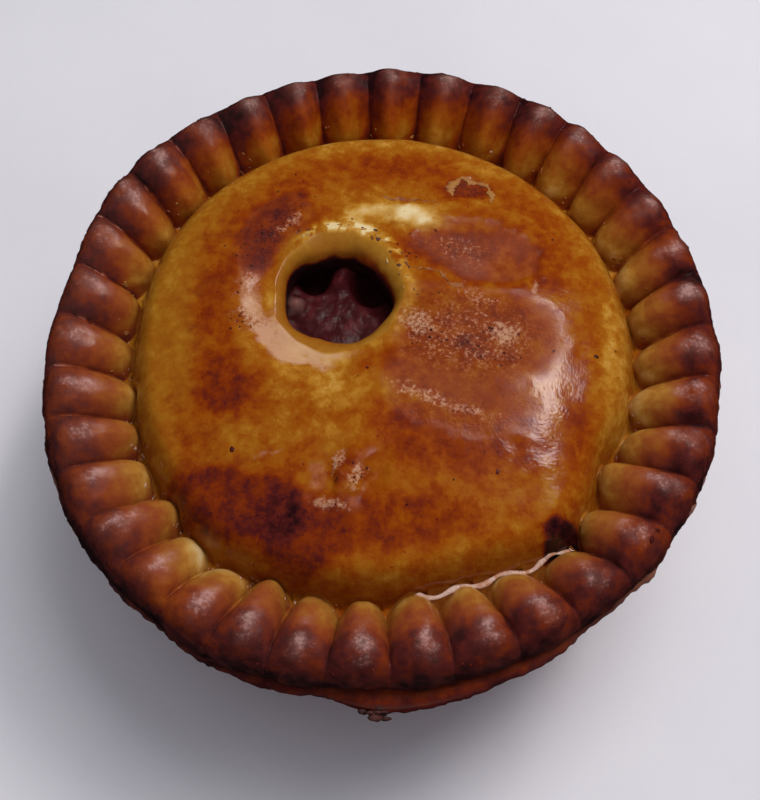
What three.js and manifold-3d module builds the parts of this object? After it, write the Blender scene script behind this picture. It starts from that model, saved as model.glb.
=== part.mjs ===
// A hand-raised pork pie: one crust (case, domed lid and crimped rim baked
// together, with a steam hole through the lid), the meat that fills it and
// shows down the hole, and a little set jelly lying in the gutter of the lid.
// Millimetres, +Z up, standing on its base with the origin at the base centre.

import * as THREE from 'three';
import { mergeVertices } from 'three/addons/utils/BufferGeometryUtils.js';
import Module from 'manifold-3d';

const wasm = await Module();
wasm.setup();

// ---------------------------------------------------------------- sizes ---

const CREST_Z = 47; // height of the crimps' crests above the table
const DOME_RISE = 3; // middle of the lid above the crests
const DOME_SPREAD = 31.5; // radius at which the lid is back down at the crests
const SHOULDER_FROM = 32; // radius past which the lid dives into the gutter
const SHOULDER_DROP = 7.4;
const LID_CURVE = 2.4; // power of the lid's curve, flat in the middle
const LID_THICKNESS = 4.6;
const WALL_THICKNESS = 5;
const BASE_THICKNESS = 5.5;
const PIECE_GAP = 0.3; // clearance between pieces that touch

const GUTTER_RADIUS = 36.9; // groove where the lid meets the crimps
const GUTTER_DEPTH = 7.2; // below the crests
const LEDGE_REACH = 47.9; // ragged edge of the case under the crimps
const WALL_TOP_RADIUS = 44.2;
const BASE_RADIUS = 35.2;

const CRIMP_COUNT = 36;
const CRIMP_STEP = 360 / CRIMP_COUNT;
const FIRST_CREASE = 3.1; // degrees from +X
const FACETS_A_CRIMP = 4;
const LEDGE_POINTS = 3; // section points that follow the ragged ledge

const HOLE_CENTRE = [-5.9, 5.4];
const HOLE_RADIUS = 7.4; // at the lid's underside
const MOUTH_RADIUS = 8.9; // at the top, where the hole flares like a funnel
const MOUTH_SHIFT = [0.4, 1.3]; // the flare leans towards the far side
const FLARE_DEPTH = 4.6;
const LIP_RADIUS = 9.7; // middle of the rolled edge round the mouth
const LIP_THICKNESS = 1.2;
const LIP_SINK = 0.65; // middle of the rolled edge below the lid
const HOLE_STEPS = 28; // facets round the hole and its lip
const MEAT_DEPTH_IN_HOLE = 7.2; // below the lid's top
const MEAT_RADII = [22, 18, 14, 11, 8, 5, 2.5]; // rings of the meat's top

const JELLY_LEVEL = 5; // below the crests
const JELLY_FROM = -87; // degrees
const JELLY_TO = -44;

// Waves in the spacing of the creases: turns round the pie, degrees, phase.
const SPACING_WAVES = [
  [1, 0.4, 170],
  [2, 1.0, -7],
  [3, 0.36, 104],
  [4, 0.26, -122],
  [5, 0.26, -133],
];

// Raggedness of the ledge: turns round the pie, mm, phase in degrees.
const LEDGE_WAVES = [
  [5, 0.2, 20],
  [9, 0.24, 75],
  [16, 0.2, -40],
  [25, 0.16, 130],
];

// Where the ledge spread most or dripped: azimuth, spread (degrees), mm.
const LEDGE_BULGES = [
  [-84, 17, 1.1],
  [222, 24, -1.4],
  [312, 14, -0.8],
  [333, 2.4, 0.9],
  [319, 2.2, 1.1],
];

// Where the rim was pressed out or in by hand: azimuth, spread (degrees), mm.
const RIM_BULGES = [
  [78, 48, 1.6],
  [20, 20, 0.3],
  [45, 16, 0.3],
  [106, 12, -0.4],
  [140, 16, 1.3],
  [166, 10, -0.9],
  [216, 18, 1.4],
  [244, 12, 1.3],
  [306, 14, -0.1],
];
const RIM_LIFT = [60, 55, 0.9]; // where the rim stands higher

// Where the gutter was pressed out or in: azimuth, spread (degrees), mm.
const GUTTER_BULGES = [
  [182, 26, -1.5],
  [232, 9, 0.7],
  [282, 14, -0.9],
  [310, 11, 1.5],
  [331, 8, -1.5],
  [0, 26, -0.4],
];
const GUTTER_SHARE = 0.6; // of the rim's width that follows the gutter

// Section of the rim over a crest and down a crease: mm out from the gutter,
// mm from the crests' height. The crease rises again at its outer end.
const CREST_SECTION = [
  [-0.9, -6.9],
  [-0.7, -4.7],
  [0.3, -3.1],
  [2.2, -1.7],
  [4.3, -0.6],
  [6.2, 0.0],
  [7.9, -0.6],
  [9.3, -2.5],
  [10.0, -4.8],
  [9.9, -7.2],
];
const CREASE_SECTION = [
  [1.3, -7.6],
  [1.7, -6.8],
  [2.4, -5.9],
  [3.6, -4.7],
  [5.2, -3.2],
  [6.9, -2.4],
  [8.4, -2.3],
  [9.3, -3.1],
  [9.9, -5.0],
  [9.8, -7.3],
];
// Underside of the rim, with the ledge first: radius, mm from the crests' height.
const UNDERSIDE = [
  [LEDGE_REACH - 0.5, -7.9],
  [LEDGE_REACH, -8.9],
  [LEDGE_REACH - 0.7, -9.9],
  [WALL_TOP_RADIUS + 0.7, -10.6],
  [WALL_TOP_RADIUS - 2.7, -11],
  [GUTTER_RADIUS + 1.6, -9.6],
];

const CRUST_COLOUR = 0xa4602a;
const MEAT_COLOUR = 0x5e2422;
const JELLY_COLOUR = 0xb98a48;

// -------------------------------------------------------------- helpers ---

const radians = (degrees) => THREE.MathUtils.degToRad(degrees);
const wave = (turns, azimuth, phase) => Math.cos(turns * azimuth + radians(phase));

/** Smallest signed angle from b to a, in degrees. */
function turnBetween(a, b) {
  return THREE.MathUtils.euclideanModulo(a - b + 180, 360) - 180;
}

/** One smooth swelling [centre, spread, amount] at an azimuth in radians. */
function swelling([centre, spread, amount], azimuth) {
  const turn = turnBetween(THREE.MathUtils.radToDeg(azimuth), centre) / spread;
  return amount * Math.exp(-turn * turn);
}

/** Radial push of the hand-pressed rim at an azimuth (radians), in mm. */
function rimBulge(azimuth) {
  return RIM_BULGES.reduce((sum, bulge) => sum + swelling(bulge, azimuth), 0);
}

/** How far the gutter lies out of its mean circle at an azimuth (radians), in mm. */
function gutterBulge(azimuth) {
  return GUTTER_BULGES.reduce((sum, bulge) => sum + swelling(bulge, azimuth), 0);
}

/** How far the ragged ledge stands out of its mean circle, in mm. */
function ledgeTear(azimuth) {
  const waves = LEDGE_WAVES.reduce(
    (sum, [turns, amount, phase]) => sum + amount * wave(turns, azimuth, phase),
    0,
  );
  return LEDGE_BULGES.reduce((sum, bulge) => sum + swelling(bulge, azimuth), waves);
}

/** Azimuth of crease k, in radians. */
function creaseAzimuth(k) {
  const even = k * CRIMP_STEP;
  const drift = SPACING_WAVES.reduce(
    (sum, [turns, amount, phase]) => sum + amount * wave(turns, radians(even), phase),
    0,
  );
  return radians(FIRST_CREASE + even + drift);
}

/**
 * Turns a closed or pole-to-pole profile of [radius, z] points round +Z, then
 * lets `shape` move each point: it gets the azimuth, radius, z, the point's
 * place in the profile and the step round the ring, and returns
 * [azimuth, radius, z].
 */
function revolve(profile, steps, shape) {
  const outline = profile.map(([r, z]) => new THREE.Vector2(r, z));
  const geometry = new THREE.LatheGeometry(outline, steps);
  geometry.rotateX(Math.PI / 2);
  const position = geometry.attributes.position;
  for (let i = 0; i < position.count; i += 1) {
    const place = i % profile.length;
    const step = Math.floor(i / profile.length) % steps;
    const [r, z] = profile[place];
    const [azimuth, radius, height] = shape((step / steps) * 2 * Math.PI, r, z, place, step);
    position.setXYZ(i, radius * Math.cos(azimuth), radius * Math.sin(azimuth), height);
  }
  return geometry;
}

/** Closed three.js geometry to a solid that can be joined and cut. */
function toSolid(geometry) {
  const bare = geometry.clone();
  bare.deleteAttribute('normal');
  bare.deleteAttribute('uv');
  const merged = mergeVertices(bare, 1e-4);
  const kept = [];
  const index = merged.index.array;
  for (let i = 0; i < index.length; i += 3) {
    const [a, b, c] = [index[i], index[i + 1], index[i + 2]];
    if (a !== b && b !== c && c !== a) kept.push(a, b, c);
  }
  return new wasm.Manifold(
    new wasm.Mesh({
      numProp: 3,
      vertProperties: new Float32Array(merged.attributes.position.array),
      triVerts: new Uint32Array(kept),
    }),
  );
}

/** Solid to a named mesh with its own material. */
function toMesh(name, solid, material) {
  const { vertProperties, triVerts, numProp } = solid.getMesh();
  const geometry = new THREE.BufferGeometry();
  const corners = new Float32Array((vertProperties.length / numProp) * 3);
  for (let i = 0; i < corners.length / 3; i += 1) {
    corners.set(vertProperties.subarray(i * numProp, i * numProp + 3), i * 3);
  }
  geometry.setAttribute('position', new THREE.BufferAttribute(corners, 3));
  geometry.setIndex(new THREE.BufferAttribute(new Uint32Array(triVerts), 1));
  geometry.computeVertexNormals();
  const mesh = new THREE.Mesh(geometry, material);
  mesh.name = name;
  return mesh;
}

/** The largest body of a solid that a cut may have left in several. */
function largestBody(solid) {
  return solid.decompose().reduce((best, next) => (next.volume() > best.volume() ? next : best));
}

// ------------------------------------------------------- the pie's shape ---

/** Height of the undisturbed lid above the table at a radius. */
function lidHeight(r) {
  const crown = DOME_RISE * (1 - (r / DOME_SPREAD) ** LID_CURVE);
  const past = Math.max(r - SHOULDER_FROM, 0) / (GUTTER_RADIUS - SHOULDER_FROM);
  return CREST_Z + crown - SHOULDER_DROP * past ** LID_CURVE;
}

/** Slow hand-made unevenness of the lid, none at the very middle. */
function lidUndulation(azimuth, r) {
  const away = Math.min(r / 18, 1);
  const edge = THREE.MathUtils.smoothstep(GUTTER_RADIUS - r, 0, 8);
  return away * edge * (0.35 * wave(2, azimuth, 40) + 0.25 * wave(3, azimuth, -70));
}

/** Pushes the outer parts of the pie out of round, as its maker's hands did. */
function outOfRound(azimuth, r) {
  return r + rimBulge(azimuth) * THREE.MathUtils.smoothstep(r, 22, 44);
}

/** Case and lid as one body of revolution, a little uneven. */
function caseAndLid() {
  const steps = 60;
  const gutterZ = CREST_Z - GUTTER_DEPTH;
  const lid = [0, 10, 19, 26, 30.5, 33.2, 35.2, GUTTER_RADIUS].map((r) => [r, lidHeight(r)]);
  lid.push([GUTTER_RADIUS + 1.2, gutterZ - 0.6]);
  const wall = [
    [WALL_TOP_RADIUS, gutterZ - 3],
    [WALL_TOP_RADIUS - 0.7, 27],
    [WALL_TOP_RADIUS - 2.8, 14.5],
    [BASE_RADIUS + 3.4, 6.5],
    [BASE_RADIUS + 1.6, 1.8],
    [BASE_RADIUS - 0.6, 0],
    [0, 0],
  ];
  const wallStart = lid.length;
  const points = lid.length + wall.length;
  return revolve([...lid, ...wall].reverse(), steps, (azimuth, r, z, place) => {
    const onLid = points - 1 - place < wallStart;
    if (onLid) {
      const shift = gutterBulge(azimuth) * THREE.MathUtils.smoothstep(r, 24, 36);
      return [azimuth, outOfRound(azimuth, r) + shift, z + lidUndulation(azimuth, r)];
    }
    const onWall = z < gutterZ && r > 0 ? THREE.MathUtils.smoothstep(z, 2, 16) : 0;
    const belly = onWall * (0.5 * wave(2, azimuth, 15) + 0.3 * wave(5, azimuth, 80));
    return [azimuth, outOfRound(azimuth, r) + belly, z];
  });
}

/**
 * The crimped rim: a ring whose section swings between the low section of a
 * crease and the full section of a crest, once for each crimp.
 */
function crimpedRim() {
  const ledgeFrom = CREASE_SECTION.length;
  const crease = CREASE_SECTION.map(([out, z]) => [GUTTER_RADIUS + out, z]);
  const section = [...crease, ...UNDERSIDE].map(([r, z]) => [r, CREST_Z + z]).reverse();
  const points = section.length;
  const steps = CRIMP_COUNT * FACETS_A_CRIMP;

  return revolve([...section, section[0]], steps, (_, r, z, place, step) => {
    const crimp = Math.floor(step / FACETS_A_CRIMP);
    const across = (step % FACETS_A_CRIMP) / FACETS_A_CRIMP;
    const from = creaseAzimuth(crimp);
    const to = creaseAzimuth(crimp + 1);
    const azimuth = from + (to - from) * across;
    const j = points - 1 - (place % points);
    const bulge = rimBulge(azimuth);
    if (j >= ledgeFrom) {
      const ragged = j < ledgeFrom + LEDGE_POINTS ? ledgeTear(azimuth) : 0;
      return [azimuth, r + bulge + ragged, z];
    }
    const roundness = Math.sqrt(1 - (2 * across - 1) ** 2);
    const size = 1 + 0.1 * Math.sin(2.4 * crimp + 1) + 0.06 * Math.sin(5.3 * crimp + 2);
    const blend = Math.min(roundness * size, 1.08);
    const [crestOut, crestZ] = CREST_SECTION[j];
    const outward = j / (ledgeFrom - 1);
    const reach = roundness * 0.3 * Math.sin(3.1 * crimp + 0.5);
    const lift = swelling(RIM_LIFT, azimuth) * THREE.MathUtils.smoothstep(outward, 0, 0.5);
    const shift = gutterBulge(azimuth) * Math.max(0, 1 - outward / GUTTER_SHARE);
    return [
      azimuth,
      r + (GUTTER_RADIUS + crestOut - r) * blend + (bulge + reach) * outward + shift,
      z + (CREST_Z + crestZ - z) * blend + lift,
    ];
  });
}

/** Unevenness of the hand-cut hole, in mm. */
function holeWave(azimuth) {
  return 0.25 * wave(2, azimuth, 60) + 0.25 * wave(5, azimuth, 10);
}

/** Rolled edge of dough round the mouth of the steam hole. */
function holeLip() {
  const sides = 8;
  const lipZ = lidHeight(Math.hypot(...HOLE_CENTRE)) - LIP_SINK;
  const section = [];
  for (let i = 0; i <= sides; i += 1) {
    const turn = (-i / sides) * 2 * Math.PI;
    section.push([LIP_RADIUS + LIP_THICKNESS * Math.cos(turn), lipZ + LIP_THICKNESS * Math.sin(turn)]);
  }
  const ring = revolve(section.reverse(), HOLE_STEPS, (azimuth, r, z) => [
    azimuth,
    r + holeWave(azimuth),
    z + 0.2 * wave(3, azimuth, 120),
  ]);
  return ring.translate(HOLE_CENTRE[0] + MOUTH_SHIFT[0], HOLE_CENTRE[1] + MOUTH_SHIFT[1], 0);
}

/** Plug of air that the steam hole cuts through the lid, leaning at its mouth. */
function steamHole() {
  const top = lidHeight(0);
  const below = top - 12;
  const above = top + 4;
  const profile = [
    [0, below],
    [HOLE_RADIUS - 0.2, below],
    [HOLE_RADIUS, top - FLARE_DEPTH],
    [MOUTH_RADIUS - 0.6, top - 1.8],
    [MOUTH_RADIUS, top - 0.6],
    [MOUTH_RADIUS + 2.6, above],
    [0, above],
  ];
  const plug = revolve(profile, HOLE_STEPS, (azimuth, r, z) => [
    azimuth,
    r > 0 ? r + holeWave(azimuth) : 0,
    z,
  ]);
  const position = plug.attributes.position;
  for (let i = 0; i < position.count; i += 1) {
    const lean = THREE.MathUtils.smoothstep(position.getZ(i), top - FLARE_DEPTH, top - 0.6);
    const x = position.getX(i) + HOLE_CENTRE[0] + lean * MOUTH_SHIFT[0];
    const y = position.getY(i) + HOLE_CENTRE[1] + lean * MOUTH_SHIFT[1];
    position.setXY(i, x, y);
  }
  return plug;
}

/** Profile of the filled space inside the crust, drawn in by a gap. */
function fillingProfile(gap) {
  const wallZ = CREST_Z - GUTTER_DEPTH - LID_THICKNESS;
  const r = WALL_TOP_RADIUS - WALL_THICKNESS - gap;
  const floor = BASE_THICKNESS + gap;
  return [
    [0, floor],
    [BASE_RADIUS - 5.5 - gap, floor],
    [BASE_RADIUS - 2.4 - gap, floor + 2.5],
    [r - 2.6, 16],
    [r - 0.6, 27],
    [r - 1.2, wallZ - 3.5],
    [r - 5, wallZ - gap],
    [26, lidHeight(26) - LID_THICKNESS - gap],
    [14, lidHeight(14) - LID_THICKNESS - gap],
    [0, lidHeight(0) - LID_THICKNESS - gap],
  ];
}

/** Shape of the hole's floor: how far the meat dips below the lid's underside. */
function meatDip(x, y) {
  const distance = Math.hypot(x - HOLE_CENTRE[0], y - HOLE_CENTRE[1]);
  const under = 1 - THREE.MathUtils.smoothstep(distance, 5, 12);
  const lumps = 0.7 * Math.sin(0.9 * x + 1) * Math.cos(0.8 * y) + 0.4 * Math.sin(1.7 * y + 0.6 * x);
  return under * (MEAT_DEPTH_IN_HOLE - LID_THICKNESS + lumps);
}

/** The meat: fills the crust and dips into a lumpy floor under the hole. */
function meatFilling() {
  const steps = 40;
  const underLid = (r) => [r, lidHeight(r) - LID_THICKNESS - PIECE_GAP];
  const outline = fillingProfile(PIECE_GAP).filter(([r, z]) => r > MEAT_RADII[0] || z < CREST_Z / 2);
  const bands = [...MEAT_RADII, 0].map(underLid);
  const topFrom = outline.length;
  return revolve([...outline, ...bands], steps, (azimuth, r, z, place) => {
    const dip = place < topFrom ? 0 : meatDip(r * Math.cos(azimuth), r * Math.sin(azimuth));
    return [azimuth, r, z - dip];
  });
}

/** Point at a radius and an azimuth in degrees. */
function arcPoint(r, degrees) {
  return new THREE.Vector2(r * Math.cos(radians(degrees)), r * Math.sin(radians(degrees)));
}

/** Block of jelly over the gutter, before the crust is cut out of it. */
function jellyBlock() {
  const middle = (JELLY_FROM + JELLY_TO) / 2;
  const chord = GUTTER_RADIUS * 0.94; // radius at which the block's ends meet
  const from = arcPoint(GUTTER_RADIUS, JELLY_FROM);
  const to = arcPoint(GUTTER_RADIUS, JELLY_TO);
  const outerPull = arcPoint(2 * (GUTTER_RADIUS + 4.5) - chord, middle);
  const innerPull = arcPoint(2 * (GUTTER_RADIUS - 3.2) - chord, middle);
  const outline = new THREE.Shape();
  outline.moveTo(from.x, from.y);
  outline.quadraticCurveTo(outerPull.x, outerPull.y, to.x, to.y);
  outline.quadraticCurveTo(innerPull.x, innerPull.y, from.x, from.y);
  const thickness = GUTTER_DEPTH - JELLY_LEVEL + 1;
  const block = new THREE.ExtrudeGeometry(outline, {
    depth: thickness,
    bevelEnabled: false,
    curveSegments: 9,
  });
  return block.translate(0, 0, CREST_Z - JELLY_LEVEL - thickness);
}

// ------------------------------------------------------------- assembly ---

const outside = toSolid(caseAndLid()).add(toSolid(crimpedRim())).add(toSolid(holeLip()));
const cavity = toSolid(revolve(fillingProfile(0), 36, (azimuth, r, z) => [azimuth, r, z]));
const crustSolid = largestBody(outside.subtract(cavity).subtract(toSolid(steamHole())));
const meatSolid = toSolid(meatFilling());
const liftedCrust = crustSolid.translate([0, 0, PIECE_GAP]);
const jellySolid = largestBody(toSolid(jellyBlock()).subtract(liftedCrust).subtract(crustSolid));

const crustFinish = new THREE.MeshStandardMaterial({ color: CRUST_COLOUR, roughness: 0.42 });
const meatFinish = new THREE.MeshStandardMaterial({ color: MEAT_COLOUR, roughness: 0.5 });
const jellyFinish = new THREE.MeshStandardMaterial({ color: JELLY_COLOUR, roughness: 0.12 });

const pie = new THREE.Group();
pie.add(
  toMesh('crust', crustSolid, crustFinish),
  toMesh('meat', meatSolid, meatFinish),
  toMesh('jelly_pool', jellySolid, jellyFinish),
);

export default pie;
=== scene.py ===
"""A crimped pork pie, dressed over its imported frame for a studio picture.

Every class below holds its own sizes in millimetres and builds its mesh in
the frame's axes: +Z up, the base centre at the origin, the near side at -Y.
"""

import logging
import math
from dataclasses import dataclass, field
from enum import Enum
from typing import Callable

import bpy
import numpy as np
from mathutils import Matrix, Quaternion, Vector
from mathutils.bvhtree import BVHTree


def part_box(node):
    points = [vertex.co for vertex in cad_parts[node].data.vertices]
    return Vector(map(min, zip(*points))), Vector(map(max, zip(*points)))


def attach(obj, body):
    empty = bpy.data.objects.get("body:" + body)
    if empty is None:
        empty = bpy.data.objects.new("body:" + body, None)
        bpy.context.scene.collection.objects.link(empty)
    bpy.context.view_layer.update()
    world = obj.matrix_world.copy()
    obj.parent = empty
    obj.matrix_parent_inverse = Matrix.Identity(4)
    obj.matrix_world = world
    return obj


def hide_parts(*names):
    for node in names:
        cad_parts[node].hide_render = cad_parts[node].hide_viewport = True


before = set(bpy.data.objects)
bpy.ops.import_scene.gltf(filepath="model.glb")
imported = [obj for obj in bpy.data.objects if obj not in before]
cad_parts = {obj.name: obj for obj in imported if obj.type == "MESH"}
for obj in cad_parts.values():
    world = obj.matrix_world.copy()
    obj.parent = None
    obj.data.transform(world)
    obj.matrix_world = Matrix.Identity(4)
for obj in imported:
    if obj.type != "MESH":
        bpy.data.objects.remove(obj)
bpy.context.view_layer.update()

MM = 0.001
LOG = logging.getLogger("pork_pie")

Points = np.ndarray
Field = np.ndarray
Amount = Field | float
Faces = list[tuple[int, ...]]
Triple = tuple[float, float, float]
Triples = tuple[Triple, ...]
Waves = tuple[tuple[int, float, float], ...]
Colour = Triple
Curve = tuple[tuple[float, float], ...]
Inputs = tuple[tuple[str, float], ...]
Material = bpy.types.Material
Piece = bpy.types.Object
Tree = bpy.types.NodeTree


# ---- number craft


def smoothstep(value: Amount, low: float, high: float) -> Amount:
    """Ease from 0 at low to 1 at high."""
    t = np.clip((value - low) / (high - low), 0.0, 1.0)
    return t * t * (3.0 - 2.0 * t)


def hump(degrees: Amount, centre: float, spread: float) -> Amount:
    """1 at an azimuth and fading to 0 with distance from it, all of them in degrees."""
    turn = (degrees - centre + 180.0) % 360.0 - 180.0
    return np.exp(-((turn / spread) ** 2))


def bulge(bulges: Triples, azimuth: Amount) -> Amount:
    """Add up humps at azimuths in radians, each with its centre and spread in degrees and its height."""
    return sum(height * hump(np.degrees(azimuth), centre, spread) for centre, spread, height in bulges)


def ripple(waves: Waves, azimuth: Amount) -> Amount:
    """Add up waves at azimuths in radians, each with its count, its height and its phase in degrees."""
    return sum(height * np.cos(count * azimuth + math.radians(phase)) for count, height, phase in waves)


def sway(sways: Triples, crimp: Field) -> Field:
    """Add up unevenness from crimp to crimp, each with its height, its step and its start in radians."""
    return sum(height * np.sin(step * crimp + start) for height, step, start in sways)


def polar(r: Amount, azimuth: Amount, z: Amount) -> Points:
    """Rows of x, y and z, from distances to the middle, azimuths in radians and heights."""
    plan = np.column_stack([r * np.cos(azimuth), r * np.sin(azimuth)])
    return np.column_stack([plan, np.broadcast_to(z, len(plan))])


def curve_through(points: Curve, rows: int) -> Points:
    """Sample a smooth curve through a few points, evenly along its length.

    Args:
        points: Places that the curve passes through.
        rows: How many samples to return.

    Returns:
        Array of shape (rows, 2).
    """
    samples_a_span = 12
    p = np.asarray(points, float)
    ends = np.vstack([2 * p[0] - p[1], p, 2 * p[-1] - p[-2]])
    t = np.linspace(0.0, 1.0, samples_a_span, endpoint=False)[:, None]
    spans = [
        0.5 * (2 * b + (c - a) * t + (2 * a - 5 * b + 4 * c - d) * t**2 + (3 * b - a - 3 * c + d) * t**3)
        for a, b, c, d in zip(ends[:-3], ends[1:-2], ends[2:-1], ends[3:])
    ]
    dense = np.vstack([*spans, p[-1:]])
    length = np.r_[0.0, np.cumsum(np.linalg.norm(np.diff(dense, axis=0), axis=1))]
    places = np.linspace(0.0, length[-1], rows)
    return np.column_stack([np.interp(places, length, dense[:, i]) for i in (0, 1)])


class Noise:
    """Seeded gradient noise in space, the same on every run."""

    CELLS = 256
    OCTAVE_SHIFT = 17.3

    def __init__(self, seed: int) -> None:
        """Shuffle the lattice.

        Args:
            seed: Which shuffle.
        """
        rng = np.random.default_rng(seed)
        self.order = np.tile(rng.permutation(self.CELLS), 3)
        directions = rng.normal(size=(self.CELLS, 3))
        self.slopes = directions / np.linalg.norm(directions, axis=1, keepdims=True)

    def at(self, points: Points, scale: float) -> Field:
        """Read the noise.

        Args:
            points: Places in millimetres, shape (n, 3).
            scale: Width of one bump in millimetres.

        Returns:
            Values between about -1 and 1, shape (n,).
        """
        q = points / scale
        cell = np.floor(q).astype(int)
        f = q - cell
        ease = f * f * f * (f * (f * 6 - 15) + 10)
        x, y, z = (cell & self.CELLS - 1).T
        total = np.zeros(len(q))
        for dx, dy, dz in np.ndindex(2, 2, 2):
            corner = self.order[self.order[self.order[x + dx] + y + dy] + z + dz]
            weight = np.prod(np.where((dx, dy, dz), ease, 1 - ease), axis=1)
            total += weight * np.einsum("ij,ij->i", self.slopes[corner], f - (dx, dy, dz))
        to_full_swing = 1.6
        return total * to_full_swing

    def layered(self, points: Points, scale: float, octaves: int = 3) -> Field:
        """Read several sizes of noise at once.

        Args:
            points: Places in millimetres, shape (n, 3).
            scale: Width of the largest bumps in millimetres.
            octaves: How many sizes, each half as wide and half as strong.

        Returns:
            Values between about -1 and 1, shape (n,).
        """
        total = np.zeros(len(points))
        for octave in range(octaves):
            total += self.at(points + self.OCTAVE_SHIFT * octave, scale / 2**octave) / 2**octave
        return total / 1.5


@dataclass(frozen=True)
class Patch:
    """A soft-edged oval on the lid, in millimetres seen from above."""

    x: float
    y: float
    long: float
    short: float
    turn: float
    amount: float
    edge: float = 0.6

    def over(self, plan: Points) -> Field:
        """Strength of the patch.

        Args:
            plan: x and y of each place, shape (n, 2).

        Returns:
            amount inside the oval, easing to 0 outside it.
        """
        angle = math.radians(self.turn)
        dx, dy = plan[:, 0] - self.x, plan[:, 1] - self.y
        along = (dx * math.cos(angle) + dy * math.sin(angle)) / self.long
        across = (-dx * math.sin(angle) + dy * math.cos(angle)) / self.short
        reach = np.sqrt(along**2 + across**2)
        return self.amount * (1.0 - smoothstep(reach, 1.0 - self.edge, 1.0 + self.edge))


def patches(*rows: tuple[float, ...]) -> tuple[Patch, ...]:
    """Make patches from rows of their numbers."""
    return tuple(Patch(*row) for row in rows)


def sum_of(marks: tuple[Patch, ...], plan: Points) -> Field:
    """Add up the strengths of patches at places seen from above."""
    return sum((patch.over(plan) for patch in marks), np.zeros(len(plan)))


# ---- mesh craft


@dataclass
class Rings:
    """A closed skin sewn from rings of points that follow one another."""

    rings: list[Points] = field(default_factory=list)

    def add(self, ring: Points) -> None:
        """Append one ring."""
        self.rings.append(ring)

    def sewn(self) -> tuple[Points, Faces]:
        """Join the rings, and close both ends on their first and last ring's middle.

        Returns:
            The vertices and the faces.
        """
        starts = np.r_[0, np.cumsum([len(ring) for ring in self.rings])]
        vertices = np.vstack(self.rings)
        faces: Faces = []
        for i in range(len(self.rings) - 1):
            faces += self._strip(int(starts[i]), len(self.rings[i]),
                                 int(starts[i + 1]), len(self.rings[i + 1]))
        ends = []
        for ring, start, flip in ((self.rings[0], int(starts[0]), False),
                                  (self.rings[-1], int(starts[-2]), True)):
            ends.append(ring.mean(axis=0))
            middle = len(vertices) + len(ends) - 1
            for j in range(len(ring)):
                a, b = start + j, start + (j + 1) % len(ring)
                faces.append((middle, b, a) if flip else (middle, a, b))
        return np.vstack([vertices, *ends]), faces

    @staticmethod
    def _strip(a: int, count_a: int, b: int, count_b: int) -> Faces:
        """Sew two rings whose counts match or differ by a whole factor.

        Args:
            a: First vertex of the earlier ring.
            count_a: Its number of points.
            b: First vertex of the later ring.
            count_b: Its number of points.

        Returns:
            The faces between the two rings.
        """
        faces: Faces = []
        if count_a >= count_b:
            factor = count_a // count_b
            for j in range(count_b):
                near, far = b + j, b + (j + 1) % count_b
                turn = factor // 2
                fine = [a + (j * factor + k) % count_a for k in range(factor + 1)]
                if factor == 1:
                    faces.append((fine[0], near, far, fine[1]))
                    continue
                faces += [(fine[k], near, fine[k + 1]) for k in range(turn)]
                faces.append((fine[turn], near, far))
                faces += [(fine[k], far, fine[k + 1]) for k in range(turn, factor)]
            return faces
        return [tuple(reversed(face)) for face in Rings._strip(b, count_b, a, count_a)]


def vertex_normals(vertices: Points, faces: Faces) -> Points:
    """Average the faces' normals at each vertex.

    Args:
        vertices: Vertex positions.
        faces: Triangles and quads.

    Returns:
        Unit normals, one for each vertex.
    """
    corners = [(f[0], f[i], f[i + 1]) for f in faces for i in range(1, len(f) - 1)]
    tri = np.asarray(corners)
    a, b, c = (vertices[tri[:, i]] for i in range(3))
    cross = np.cross(b - a, c - a)
    normals = np.zeros_like(vertices)
    for i in range(3):
        np.add.at(normals, tri[:, i], cross)
    return normals / np.maximum(np.linalg.norm(normals, axis=1, keepdims=True), 1e-12)


def make_piece(name: str, vertices: Points, faces: Faces, masks: dict[str, Field],
               material: Material) -> Piece:
    """Make a mesh object in metres from arrays in millimetres.

    Args:
        name: The piece's name.
        vertices: Positions in millimetres.
        faces: Vertex numbers of each face.
        masks: Named numbers kept on the vertices for the material.
        material: The piece's finish.

    Returns:
        The new object, linked to the scene.
    """
    mesh = bpy.data.meshes.new(name)
    mesh.from_pydata((vertices * MM).tolist(), [], faces)
    for mask, values in masks.items():
        layer = mesh.attributes.new(mask, "FLOAT", "POINT")
        layer.data.foreach_set("value", np.ascontiguousarray(values, dtype=np.float32))
    mesh.polygons.foreach_set("use_smooth", [True] * len(mesh.polygons))
    mesh.materials.append(material)
    mesh.update()
    piece = bpy.data.objects.new(name, mesh)
    bpy.context.scene.collection.objects.link(piece)
    return piece


# ---- shader craft


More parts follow.
